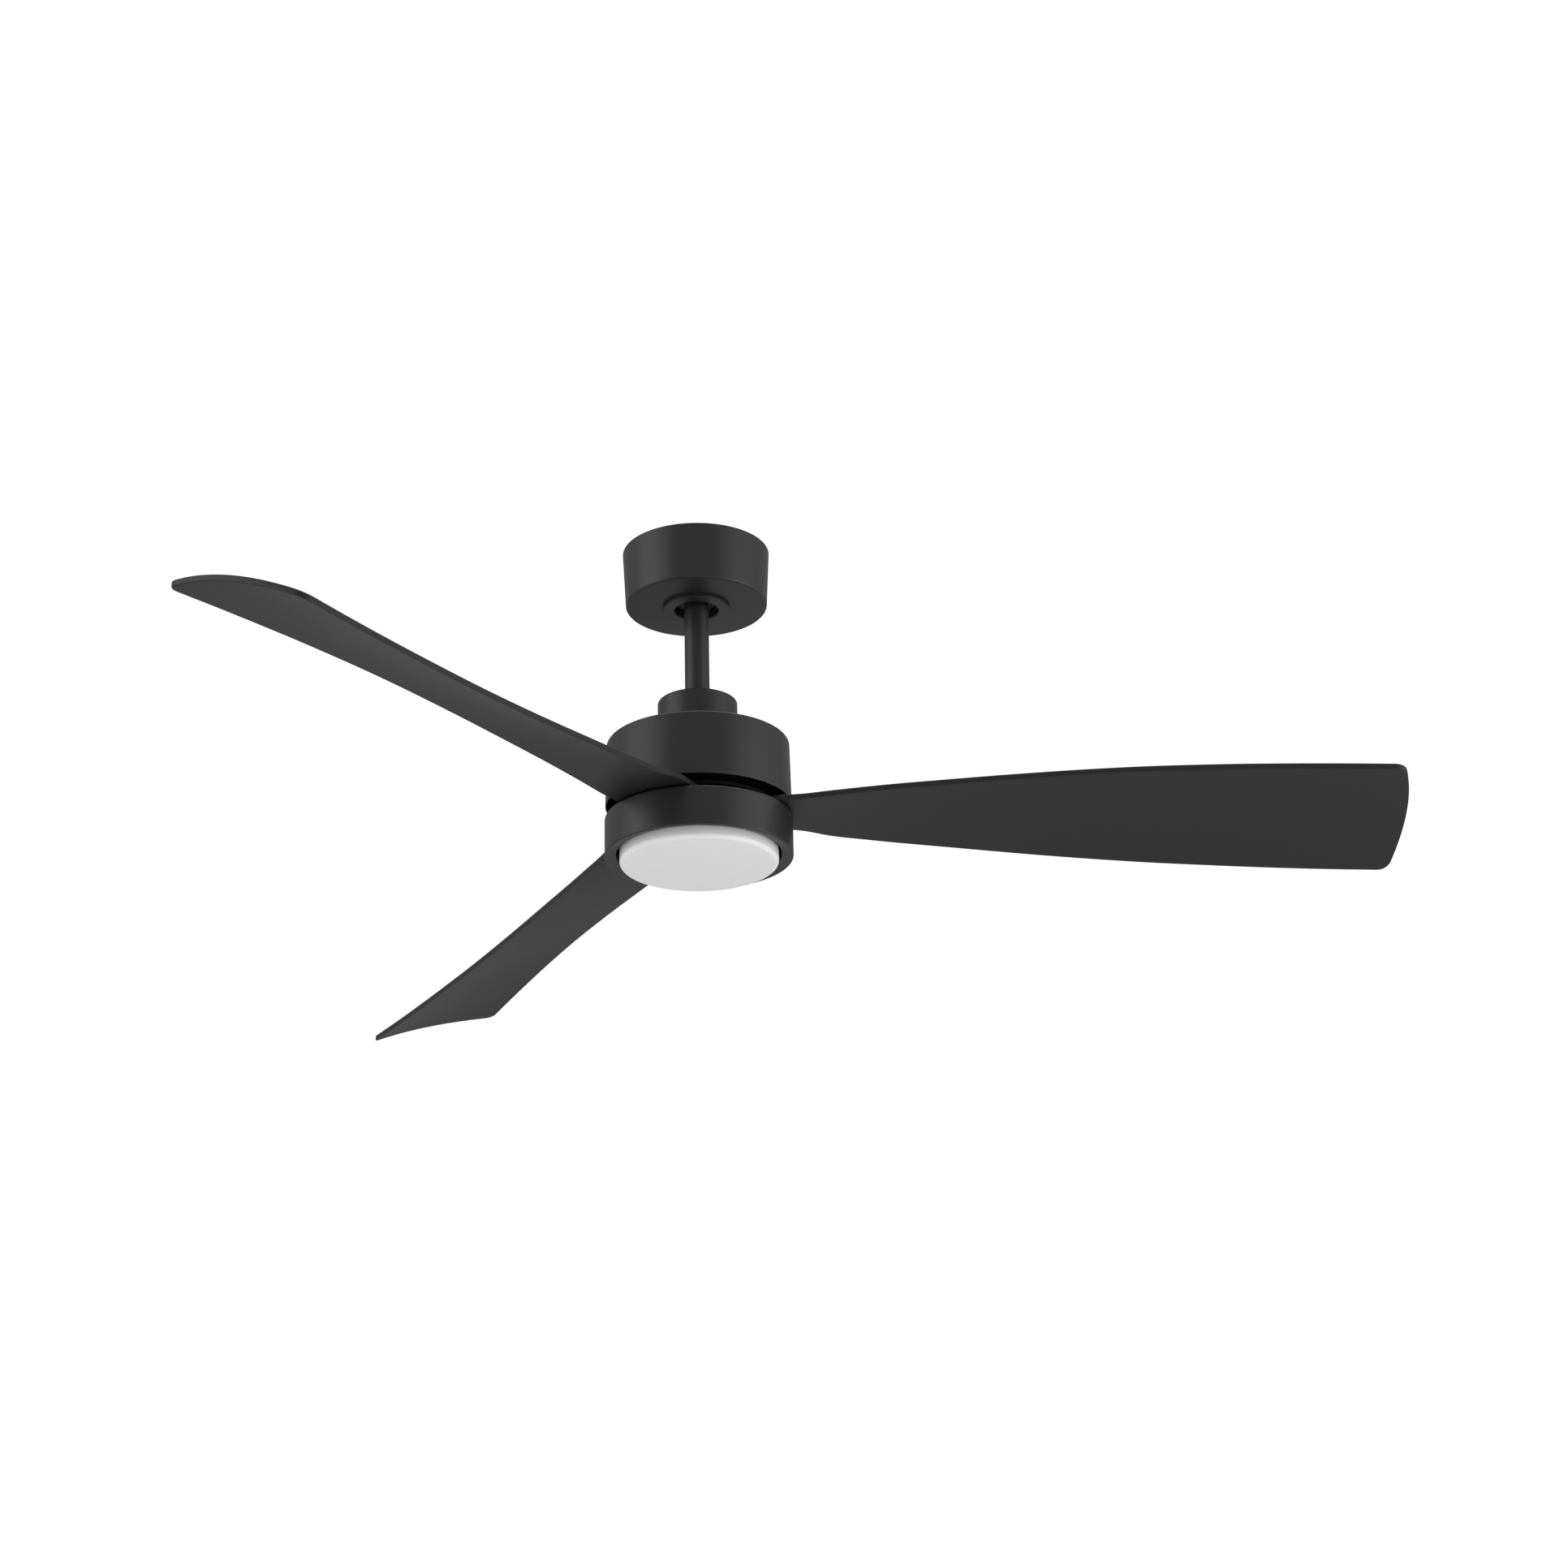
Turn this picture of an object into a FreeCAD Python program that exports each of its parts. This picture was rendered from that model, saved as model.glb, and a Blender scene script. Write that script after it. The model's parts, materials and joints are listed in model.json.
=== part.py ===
import FreeCAD, Part
import math
import os
import re

import Sketcher

# Ceiling fan with light: three blades, a short downrod and a round light kit.
# The origin lies on the fan's axis in the ceiling plane, +Z points up and blade_1 points along +X.

doc = FreeCAD.newDocument("CeilingFan")

# ---------------------------------------------------------------- driving dimensions (mm, degrees)

sizes = {
    # canopy, and the cover ring that hides its screws
    "canopy_height": 60.2,
    "canopy_rim_r": 76.3,
    "canopy_foot_r": 73.2,
    "canopy_wall": 1.2,
    "canopy_round": 2.2,
    "canopy_hole_r": 24,
    "cover_r": 34.6,
    "cover_hole_r": 22.8,
    "cover_thick": 4,
    "cover_groove": 2.6,
    "canopy_screw_circle": 28.8,
    # mounting bracket and the ball that hangs in it
    "bracket_width": 38,
    "bracket_length": 114,
    "bracket_sheet": 2,
    "bracket_hole_r": 16,
    "box_screw_spacing": 88.9,
    "box_slot_r": 2.75,
    "box_slot_length": 12,
    "leg_gap": 5,
    "seat_wall": 3.8,
    "seat_height": 12.8,
    "seat_bore_r": 21,
    "ball_r": 30,
    "ball_drop": 34,
    "ball_above": 14,
    "ball_below": 22,
    "ball_clear": 0.2,
    "tab_width": 4.8,
    "tab_clear": 0.6,
    "groove_depth": 4,
    # control module and wire connectors inside the canopy
    "module_depth": 24,
    "module_width": 52,
    "module_height": 24,
    "connector_r": 6,
    "connector_height": 19,
    # downrod, coupling and its cover
    "rod_r": 12.7,
    "rod_wall": 2,
    "rod_length": 187.6,
    "rod_above_ball": 18,
    "rod_grip": 29,
    "coupling_r": 22,
    "coupling_floor": 12,
    "coupling_flange_r": 32,
    "coupling_flange": 6,
    "coupling_screw_circle": 27,
    "shade_r": 40.8,
    "shade_height": 47.4,
    "shade_wall": 1.5,
    "shade_round": 2.5,
    "shade_clear": 0.5,
    "pin_r": 3,
    "hanger_pin_length": 46,
    "coupling_pin_length": 54,
    "coupling_pin_drop": 14,
    "set_screw_drop": 22,
    "pin_head": 2,
    "clip_r": 1,
    "clip_eye_r": 3,
    "clip_inset": 3,
    # motor housing, shaft and motor
    "housing_r": 93.2,
    "housing_foot_r": 94.4,
    "housing_height": 67.5,
    "housing_wall": 1.5,
    "housing_round": 2.5,
    "shaft_r": 7.5,
    "shaft_bore_r": 4.5,
    "collar_r": 13,
    "collar_thick": 3,
    "rotor_top_gap": 6.5,
    "rotor_bottom_gap": 4.1,
    "rotor_r": 78,
    "rotor_flange_r": 85,
    "rotor_wall": 2.5,
    "bearing_r": 17.5,
    "bearing_width": 11,
    "bearing_ring": 3.1,
    "bearing_ball_r": 2.9,
    "race_clear": 0.08,
    "magnet_thick": 6.4,
    "magnet_height": 24,
    "air_gap": 1,
    "core_height": 20,
    "core_hub_r": 20,
    "tooth_width": 8,
    "shoe_thick": 7,
    "coil_width": 17,
    "coil_over": 3,
    # flange that carries the blades, and the blades
    "blade_gap": 12.9,
    "blade_span_r": 711.2,
    "blade_root_r": 38,
    "blade_thick": 6.2,
    "blade_clear": 1.4,
    "blade_root_chord": 75.7,
    "blade_widening": 0.11,
    "blade_tip_bow": 10.8,
    "blade_corner_r": 13,
    "blade_flat_r": 95,
    "blade_drop": 26.1,
    "blade_camber": 7.5,
    "flange_r": 80,
    "flange_thick": 3.4,
    "flange_hole_r": 22,
    "flange_ring_r": 40,
    "flange_ring_width": 10,
    # light kit: ring, fitter plate, tray with board and driver, lens
    "ring_r": 95.1,
    "ring_height": 42.8,
    "ring_wall": 1.5,
    "ring_top_round": 2.4,
    "ring_round": 1.6,
    "ring_opening_r": 83.5,
    "ring_dish": 3.4,
    "ring_lip": 20.5,
    "fitter_r": 68,
    "fitter_thick": 2,
    "nut_r": 11,
    "nut_height": 5,
    "shaft_below_nut": 0.7,
    "tray_r": 72,
    "tray_depth": 21.7,
    "tray_wall": 1.5,
    "tray_rim": 14,
    "hook_reach": 4.8,
    "hook_drop": 11.7,
    "hook_thick": 2,
    "hook_angle": 24,
    "board_r": 66,
    "board_thick": 1.6,
    "driver_length": 56,
    "driver_width": 28,
    "driver_height": 12.5,
    "driver_offset": 16,
    "chip_width": 5,
    "chip_height": 0.8,
    "wire_hole_r": 4,
    "wire_hole_offset": 12,
    "lens_r": 80.2,
    "lens_wall": 2.5,
    "lens_drop": 8.3,
    "lens_dome": 1.6,
    "lens_round": 4.5,
    "lens_rim_drop": 5.7,
    "lug_reach": 4.6,
    "lug_thick": 2.4,
    "lug_angle": 20,
    # lead wires, fasteners and fits
    "wire_r": 1.2,
    "wire_circle": 6.5,
    "shaft_wire_circle": 2.4,
    "wire_bend": 10,
    "wire_top": 10,
    "screw_r": 2,
    "head_r": 3.4,
    "head_height": 2.2,
    "blade_screw_r": 2.5,
    "blade_head_r": 5,
    "fit": 0.05,
    "loose": 0.3,
}

# levels and radii that follow from the driving dimensions
derived = {
    "canopy_bottom": "0 - canopy_height",
    "canopy_screw_bite": "bracket_sheet + seat_height / 3",
    "floor_top": "canopy_bottom + canopy_wall",
    "cover_bottom": "canopy_bottom - cover_thick",
    "ball_level": "0 - ball_drop",
    "seat_r": "ball_r + ball_clear + seat_wall",
    "leg_y": "ball_r + leg_gap",
    "pin_level": "ball_level + 2 * pin_r",
    "rod_top": "ball_level + rod_above_ball",
    "rod_bottom": "rod_top - rod_length",
    "coupling_top": "rod_bottom + rod_grip",
    "coupling_pin_level": "coupling_top - coupling_pin_drop",
    "set_screw_level": "coupling_top - set_screw_drop",
    "housing_top": "rod_bottom - coupling_floor",
    "flange_top": "housing_top + coupling_flange",
    "housing_bottom": "housing_top - housing_height",
    "collar_top": "housing_top - housing_wall",
    "rotor_top": "collar_top - rotor_top_gap",
    "rotor_bottom": "housing_bottom + rotor_bottom_gap",
    "rotor_middle": "(rotor_top + rotor_bottom) / 2",
    "magnet_out_r": "rotor_r - rotor_wall - fit",
    "magnet_in_r": "magnet_out_r - magnet_thick",
    "core_r": "magnet_in_r - air_gap",
    "race_r": "(shaft_r + bearing_r) / 2",
    "race_section_r": "bearing_ball_r + race_clear",
    "race_depth": "race_r - shaft_r - bearing_ring",
    "race_half": "sqrt(race_section_r * race_section_r - race_depth * race_depth)",
    "ring_top": "housing_bottom - blade_gap",
    "blade_bottom": "ring_top + blade_clear",
    "blade_top": "blade_bottom + blade_thick",
    "blade_flange_top": "blade_top + flange_thick",
    "ring_bottom": "ring_top - ring_height",
    "fitter_top": "ring_top - ring_wall",
    "fitter_bottom": "fitter_top - fitter_thick",
    "nut_bottom": "fitter_bottom - nut_height",
    "shaft_bottom": "nut_bottom - shaft_below_nut",
    "tray_bottom": "fitter_bottom - tray_depth",
    "tray_floor": "tray_bottom + tray_wall",
    "hook_top": "fitter_bottom - hook_drop",
    "board_bottom": "tray_bottom - board_thick",
    "lens_top": "fitter_bottom - lens_rim_drop",
    "lens_bottom": "ring_bottom - lens_drop",
}

# distances of the repeated fasteners from the fan's axis
circles = {
    "rotor_screw_circle": "(rotor_r + rotor_flange_r) / 2",
    "flange_screw_circle": "flange_ring_r + flange_ring_width / 2",
    "fitter_screw_circle": "fitter_r - 20",
    "tray_screw_circle": "tray_r - tray_rim / 2 - tray_wall / 2",
    "board_screw_circle": "board_r - 26",
}

blade_count = 3
blade_screw_places = [(52, -18), (52, 18), (72, 0)]

# share of the way from the flat root to the tip (below 0 on the root), pitch in degrees, share of the droop
blade_stations = [(-1, 0, 0), (-0.75, 0, 0), (-0.5, 0, 0), (-0.25, 0, 0), (-0.12, 0, 0), (-0.05, 0, 0),
                  (0, 0, 0), (0.008, 0.35, 0.007), (0.02, 1.2, 0.024), (0.055, 5.1, 0.083),
                  (0.13, 10.2, 0.144), (0.27, 16.0, 0.259), (0.41, 19.9, 0.385), (0.55, 21.8, 0.514),
                  (0.695, 21.7, 0.66), (0.85, 20.3, 0.831), (1.01, 17.8, 1)]

sheet = doc.addObject("Spreadsheet::Sheet", "Sizes")
for row, (name, value) in enumerate(sizes.items(), 1):
    sheet.set("A%d" % row, name)
    sheet.set("B%d" % row, str(value))
    sheet.setAlias("B%d" % row, name)
doc.recompute()

nodes = []


def bound(text):
    # writes out a size expression with the sheet's cells in place of the plain names
    def replace(match):
        word = match.group()
        if word in sizes:
            return "Sizes." + word
        if word in derived:
            return "(" + bound(derived[word]) + ")"
        if word in circles:
            return "(" + bound(circles[word]) + ")"
        return word
    return re.sub(r"[a-z_][a-z_0-9]*", replace, str(text))


def number(text):
    return float(sheet.evalExpression(bound(text)))


def bind(thing, **properties):
    for name, text in properties.items():
        thing.setExpression(name, bound(text))


def place(thing, at, rotation=FreeCAD.Rotation()):
    thing.Placement = FreeCAD.Placement(FreeCAD.Vector(), rotation)
    for axis, text in zip("xyz", at):
        thing.setExpression("Placement.Base." + axis, bound(text))


# ---------------------------------------------------------------- primitives

def rod(radius, length, at, along="Z"):
    # a cylinder that starts at a point and runs along +X, +Y or +Z
    turns = {"X": FreeCAD.Rotation(FreeCAD.Vector(0, 1, 0), 90),
             "Y": FreeCAD.Rotation(FreeCAD.Vector(1, 0, 0), -90),
             "Z": FreeCAD.Rotation()}
    cylinder = doc.addObject("Part::Cylinder", "Rod")
    bind(cylinder, Radius=radius, Height=length)
    place(cylinder, at, turns[along])
    return cylinder


def block(size, corner, turn=0):
    # a box given by its size and lowest corner, then turned about the fan's axis
    box = doc.addObject("Part::Box", "Block")
    bind(box, Length=size[0], Width=size[1], Height=size[2])
    x, y, z = corner
    at = (f"({x}) * cos({turn}) - ({y}) * sin({turn})", f"({x}) * sin({turn}) + ({y}) * cos({turn})", z)
    place(box, at, FreeCAD.Rotation(FreeCAD.Vector(0, 0, 1), turn))
    return box


def cone(bottom_r, top_r, height, at):
    thing = doc.addObject("Part::Cone", "Cone")
    bind(thing, Radius1=bottom_r, Radius2=top_r, Height=height)
    place(thing, at)
    return thing


def sphere(radius, at):
    thing = doc.addObject("Part::Sphere", "Sphere")
    bind(thing, Radius=radius)
    place(thing, at)
    return thing


def torus(ring_r, section_r, at, rotation):
    thing = doc.addObject("Part::Torus", "Torus")
    bind(thing, Radius1=ring_r, Radius2=section_r)
    place(thing, at, rotation)
    return thing


def strut(radius, start, end):
    # a slanted cylinder with ball ends between two points
    foot, head = [FreeCAD.Vector(*[number(text) for text in spot]) for spot in (start, end)]
    cylinder = doc.addObject("Part::Cylinder", "Strut")
    bind(cylinder, Radius=radius)
    cylinder.Height = (head - foot).Length
    place(cylinder, start, FreeCAD.Rotation(FreeCAD.Vector(0, 0, 1), head - foot))
    return fuse(None, cylinder, sphere(radius, start), sphere(radius, end))


def sector(inner_r, outer_r, bottom, height, start, sweep):
    # an arc-shaped bar about the fan's axis, from the start angle through the sweep
    outer = doc.addObject("Part::Cylinder", "Sector")
    bind(outer, Radius=outer_r, Height=height, Angle=sweep)
    place(outer, ("0", "0", bottom), FreeCAD.Rotation(FreeCAD.Vector(0, 0, 1), start))
    return cut(None, outer, rod(inner_r, height, ("0", "0", bottom)))


def cut(label, base, *tools):
    thing = doc.addObject("Part::Cut", "Cut")
    thing.Base = base
    thing.Tool = tools[0] if len(tools) == 1 else fuse(None, *tools)
    return keep(label, thing)


def fuse(label, *parts):
    thing = doc.addObject("Part::MultiFuse", "Fuse")
    thing.Shapes = list(parts)
    return keep(label, thing)


def group(label, parts):
    # pieces that stay separate solids in one node
    thing = doc.addObject("Part::Compound", "Group")
    thing.Links = list(parts)
    return keep(label, thing)


def keep(label, thing):
    # a labelled object is a finished sub-part
    if label:
        thing.Label = label
        nodes.append(thing)
    return thing


def around(count, first=0):
    return [first + 360.0 * index / count for index in range(count)]


def polar(radius, angle, level):
    return (f"({radius}) * cos({angle})", f"({radius}) * sin({angle})", level)


def holes(radius, circle, angles, bottom, height):
    return [rod(radius, height, polar(circle, angle, bottom)) for angle in angles]


def screw(at, shank_r, shank, head_r, head, head_up=False):
    # a shank with a flat round head at its lower end, or at its upper end
    x, y, seat = at
    if head_up:
        return fuse(None, rod(shank_r, shank, (x, y, f"{seat} - ({shank})")), rod(head_r, head, at))
    return fuse(None, rod(shank_r, shank, at), rod(head_r, head, (x, y, f"{seat} - ({head})")))


# ---------------------------------------------------------------- sketched bodies

def new_sketch(body):
    # a sketch in the plane of the fan's axis and the first blade
    planes = [feature for feature in body.Origin.OriginFeatures if feature.Role == "XZ_Plane"]
    sketch = body.newObject("Sketcher::SketchObject", "Outline")
    sketch.AttachmentSupport = [(planes[0], "")]
    sketch.MapMode = "FlatFace"
    return sketch


def arc_middle(start, end, radius):
    # the middle of the arc that bulges to the right of the way from start to end, or left if negative
    chord = end - start
    sagitta = abs(radius) - math.sqrt(radius ** 2 - (chord.Length / 2) ** 2)
    side = FreeCAD.Vector(chord.y, -chord.x, 0).normalize()
    return (start + end) * 0.5 + side * math.copysign(sagitta, radius)


def polygon(sketch, corners):
    # a closed outline; a corner with a third value is reached by an arc of that radius
    spots = [FreeCAD.Vector(number(corner[0]), number(corner[1]), 0) for corner in corners]
    ends = []
    for index, corner in enumerate(corners):
        before, here = spots[index - 1], spots[index]
        if len(corner) == 3:
            middle = arc_middle(before, here, number(corner[2]))
            edge = sketch.addGeometry(Part.Arc(before, middle, here), False)
            radius = sketch.addConstraint(Sketcher.Constraint("Radius", edge, abs(number(corner[2]))))
            sketch.setExpression("Constraints[%d]" % radius, "abs(%s)" % bound(corner[2]))
            forward = sketch.getPoint(edge, 1).distanceToPoint(before) < 1e-6
        else:
            edge = sketch.addGeometry(Part.LineSegment(before, here), False)
            forward = True
        ends.append((edge, 1, 2) if forward else (edge, 2, 1))
    for index, (edge, first, last) in enumerate(ends):
        following = ends[(index + 1) % len(ends)]
        sketch.addConstraint(Sketcher.Constraint("Coincident", edge, last, following[0], following[1]))
        for kind, text in zip(("DistanceX", "DistanceY"), corners[index]):
            fixed = sketch.addConstraint(Sketcher.Constraint(kind, -1, 1, edge, last, number(text)))
            sketch.setExpression("Constraints[%d]" % fixed, bound(text))


def round_off(body, radius, level, size):
    # a fillet on the circular edge that has the given radius and level
    base = body.Tip
    names = []
    for index, edge in enumerate(base.Shape.Edges, 1):
        if not edge.Degenerated and isinstance(edge.Curve, Part.Circle):
            same_size = abs(edge.Curve.Radius - number(radius)) < 1e-4
            same_level = abs(edge.Curve.Center.z - number(level)) < 1e-4
            if same_size and same_level:
                names.append("Edge%d" % index)
    fillet = body.newObject("PartDesign::Fillet", "Round")
    fillet.Base = (base, names)
    bind(fillet, Radius=size)
    doc.recompute()


def turned(label, corners, rounds=()):
    # a body turned about the fan's axis from an outline of (radius, level) corners
    body = doc.addObject("PartDesign::Body", label or "Turned")
    sketch = new_sketch(body)
    polygon(sketch, corners)
    turn = body.newObject("PartDesign::Revolution", "Turn")
    turn.Profile = (sketch, [""])
    turn.ReferenceAxis = (sketch, ["V_Axis"])
    turn.Angle = 360
    doc.recompute()
    for radius, level, size in rounds:
        round_off(body, radius, level, size)
    return keep(label, body)


def tube(label, inner_r, outer_r, bottom, top):
    return turned(label, [(inner_r, bottom), (outer_r, bottom), (outer_r, top), (inner_r, top)])


# ---------------------------------------------------------------- ceiling side

def make_bracket():
    # top plate, two legs and a lower plate that carries the open spherical seat
    side = "0 - bracket_width / 2"
    top = block(("bracket_width", "bracket_length", "bracket_sheet"),
                (side, "0 - bracket_length / 2", "0 - bracket_sheet"))
    depth = "0 - floor_top"
    legs = [block(("bracket_width", "bracket_sheet", depth), (side, y, "floor_top"))
            for y in ("leg_y", "0 - leg_y - bracket_sheet")]
    plate = block(("bracket_width", "2 * leg_y", "bracket_sheet"), (side, "0 - leg_y", "floor_top"))
    seat = rod("seat_r", "bracket_sheet + seat_height", ("0", "0", "floor_top"))
    frame = fuse(None, top, *legs, plate, seat)

    slot_half = "box_slot_length / 2 - box_slot_r"
    slots = []
    for side_y in (1, -1):
        middle = f"{side_y} * box_screw_spacing / 2"
        slots.append(block(("2 * box_slot_r", f"2 * ({slot_half})", "2 * bracket_sheet"),
                           ("0 - box_slot_r", f"{middle} - ({slot_half})", "0 - 1.5 * bracket_sheet")))
        for end in (1, -1):
            slots.append(rod("box_slot_r", "2 * bracket_sheet",
                             ("0", f"{middle} + {end} * ({slot_half})", "0 - 1.5 * bracket_sheet")))
    mouth = block(("seat_r + 1", "2 * (rod_r + 2)", "bracket_sheet + seat_height + 2"),
                  ("0 - seat_r - 1", "0 - rod_r - 2", "floor_top - 1"))
    opened = cut(None, frame,
                 rod("bracket_hole_r", "2 * bracket_sheet", ("0", "0", "0 - 1.5 * bracket_sheet")),
                 rod("seat_bore_r", "bracket_sheet + seat_height + 2", ("0", "0", "floor_top - 1")),
                 sphere("ball_r + ball_clear", ("0", "0", "ball_level")),
                 mouth,
                 rod("screw_r", "2 * bracket_sheet", earth_screw_place("0 - 1.5 * bracket_sheet")),
                 *slots,
                 *holes("screw_r", "canopy_screw_circle", (90, -90), "floor_top - 1",
                        "canopy_screw_bite + 1"))

    # the tab that enters the ball's groove and stops the fan from turning round
    reach = "ball_r - groove_depth + tab_clear"
    bar = block(("seat_r - 1 - seat_bore_r", "tab_width", "seat_height - 4"),
                ("seat_bore_r", "0 - tab_width / 2", "floor_top + bracket_sheet + 3"))
    tab = cut(None, bar, rod(reach, "2 * tab_width", ("0", "0 - tab_width", "ball_level"), "Y"))
    fuse("mounting_bracket", opened, tab)


def earth_screw_place(level):
    return ("bracket_width / 2 - 6", "bracket_hole_r + 9", level)


def make_canopy():
    shell = turned(None,
                   [("canopy_hole_r", "canopy_bottom"),
                    ("canopy_foot_r", "canopy_bottom"),
                    ("canopy_rim_r", "0"),
                    ("canopy_rim_r - canopy_wall", "0"),
                    ("canopy_foot_r - canopy_wall", "floor_top"),
                    ("canopy_hole_r", "floor_top")],
                   [("canopy_foot_r", "canopy_bottom", "canopy_round"),
                    ("canopy_foot_r - canopy_wall", "floor_top", "canopy_round - canopy_wall")])
    cut("canopy", shell,
        *holes("screw_r + fit", "canopy_screw_circle", (90, -90), "canopy_bottom - 1", "canopy_wall + 2"))

    ring = tube(None, "cover_hole_r", "cover_r", "cover_bottom", "canopy_bottom")
    groove = tube(None, "canopy_screw_circle - head_r - loose", "canopy_screw_circle + head_r + loose",
                  "canopy_bottom - cover_groove", "canopy_bottom + 1")
    cut("canopy_screw_cover", ring, groove)

    screws = [screw(polar("canopy_screw_circle", angle, "canopy_bottom"), "screw_r - fit",
                    "canopy_wall + canopy_screw_bite - 1", "head_r", "head_height") for angle in (90, -90)]
    group("canopy_screws", screws)
    fuse("earth_screw", rod("screw_r - fit", "bracket_sheet", earth_screw_place("0 - bracket_sheet")),
         rod("head_r", "head_height", earth_screw_place("0 - bracket_sheet - head_height")))


def make_canopy_contents():
    # the control module lies on the canopy's floor beside the seat, the connectors opposite
    body = block(("module_depth", "module_width", "module_height"),
                 ("seat_r + 4", "0 - module_width / 2", "floor_top"))
    ledge = block(("module_depth - 8", "6", "3"), ("seat_r + 8", "module_width / 2", "floor_top"))
    other = block(("module_depth - 8", "6", "3"), ("seat_r + 8", "0 - module_width / 2 - 6", "floor_top"))
    fuse("receiver_module", body, ledge, other)

    angles = (165, 180, 195)
    group("wire_connectors", [cone("connector_r", "connector_r - 2", "connector_height",
                                   polar("canopy_foot_r - 14", angle, "floor_top")) for angle in angles])


# ---------------------------------------------------------------- hanging rod

def make_ball():
    height = "ball_above + ball_below"
    blank = doc.addObject("Part::MultiCommon", "Common")
    blank.Shapes = [sphere("ball_r", ("0", "0", "ball_level")),
                    rod("ball_r + 1", height, ("0", "0", "ball_level - ball_below"))]
    groove_width = "tab_width + 2 * tab_clear"
    wheel = rod("ball_r + 1", groove_width, ("0", f"0 - ({groove_width}) / 2", "ball_level"), "Y")
    core = rod("ball_r - groove_depth", groove_width, ("0", f"0 - ({groove_width}) / 2", "ball_level"), "Y")
    far_side = block(("ball_r + 2", "2 * ball_r", "3 * ball_r"),
                     ("0 - ball_r - 2", "0 - ball_r", "ball_level - 1.5 * ball_r"))
    groove = cut(None, wheel, core, far_side)
    cut("hanger_ball", blank, groove,
        rod("rod_r + fit", "2 * ball_r", ("0", "0", "ball_level - ball_r")),
        rod("pin_r + fit", "2 * ball_r", ("0", "0 - ball_r", "pin_level"), "Y"),
        rod("screw_r + fit", "ball_r", ("0 - ball_r", "0", "ball_level - 4"), "X"))
    keep("hanger_pin",
         rod("pin_r", "hanger_pin_length", ("0", "0 - hanger_pin_length / 2", "pin_level"), "Y"))
    keep("ball_set_screw",
         rod("screw_r", "ball_r - rod_r - 4", ("0 - ball_r + 3", "0", "ball_level - 4"), "X"))


def make_downrod():
    pipe = tube(None, "rod_r - rod_wall", "rod_r", "rod_bottom", "rod_top")
    cut("downrod", pipe,
        rod("pin_r + fit", "4 * rod_r", ("0", "0 - 2 * rod_r", "pin_level"), "Y"),
        rod("pin_r + fit", "4 * rod_r", ("0 - 2 * rod_r", "0", "coupling_pin_level"), "X"))


def make_lead_wires():
    # they pass beside both pins in the rod, then draw together to enter the shaft
    bend_top = "rod_bottom + wire_bend - 2"
    bend_bottom = "rod_bottom - 2"
    wires = []
    for angle in (45, 135, 225):
        upper = polar("wire_circle", angle, bend_top)
        lower = polar("shaft_wire_circle", angle, bend_bottom)
        wires.append(fuse(None, rod("wire_r", f"0 - wire_top - ({bend_top})", upper),
                          strut("wire_r", upper, lower),
                          rod("wire_r", f"{bend_bottom} - shaft_bottom",
                              polar("shaft_wire_circle", angle, "shaft_bottom"))))
    group("lead_wires", wires)


def make_coupling():
    blank = turned(None,
                   [("rod_r + fit", "coupling_top"), ("rod_r + fit", "rod_bottom"),
                    ("shaft_r + fit", "rod_bottom"), ("shaft_r + fit", "housing_top"),
                    ("coupling_flange_r", "housing_top"), ("coupling_flange_r", "flange_top"),
                    ("coupling_r", "flange_top"), ("coupling_r", "coupling_top")],
                   [("coupling_r", "coupling_top", "1.5")])
    cut("coupling", blank,
        rod("pin_r + fit", "4 * coupling_r", ("0 - 2 * coupling_r", "0", "coupling_pin_level"), "X"),
        rod("screw_r + fit", "4 * coupling_r", ("0", "0 - 2 * coupling_r", "set_screw_level"), "Y"),
        *holes("screw_r + fit", "coupling_screw_circle", around(4, 45), "housing_top - 1",
               "coupling_flange + 2"))

    half = "coupling_pin_length / 2"
    clip_x = f"clip_inset - {half}"
    hole = rod("clip_r + 0.2", "4 * pin_r", (clip_x, "0", "coupling_pin_level - 2 * pin_r"))
    bar = rod("pin_r", "coupling_pin_length", (f"0 - {half}", "0", "coupling_pin_level"), "X")
    head = rod("pin_r + 1.5", "pin_head", (half, "0", "coupling_pin_level"), "X")
    fuse("coupling_pin", cut(None, bar, hole), head)

    # the clip is a straight leg through the pin with an eye above it
    eye = torus("clip_eye_r", "clip_r + 0.2", (clip_x, "0", "coupling_pin_level + pin_r + 2 * clip_eye_r"),
                FreeCAD.Rotation(FreeCAD.Vector(0, 1, 0), 90))
    leg = rod("clip_r", "2 * (pin_r + clip_eye_r)", (clip_x, "0", "coupling_pin_level - pin_r - clip_eye_r"))
    fuse("cotter_clip", leg, eye)
    screws = [rod("screw_r", "coupling_r + 2 - rod_r", ("0", start, "set_screw_level"), "Y")
              for start in ("rod_r", "0 - coupling_r - 2")]
    group("coupling_set_screws", screws)
    group("coupling_screws", [screw(polar("coupling_screw_circle", angle, "flange_top"), "screw_r",
                                    "coupling_flange + housing_wall + 2", "head_r", "head_height", True)
                              for angle in around(4, 45)])


def make_coupling_cover():
    top = "housing_top + shade_height"
    turned("coupling_cover",
           [("rod_r + shade_clear", top), ("rod_r + shade_clear", f"{top} - shade_wall"),
            ("shade_r - shade_wall", f"{top} - shade_wall"), ("shade_r - shade_wall", "housing_top"),
            ("shade_r", "housing_top"), ("shade_r", top)],
           [("shade_r", top, "shade_round"),
            ("shade_r - shade_wall", f"{top} - shade_wall", "shade_round - shade_wall")])


# ---------------------------------------------------------------- motor

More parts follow.
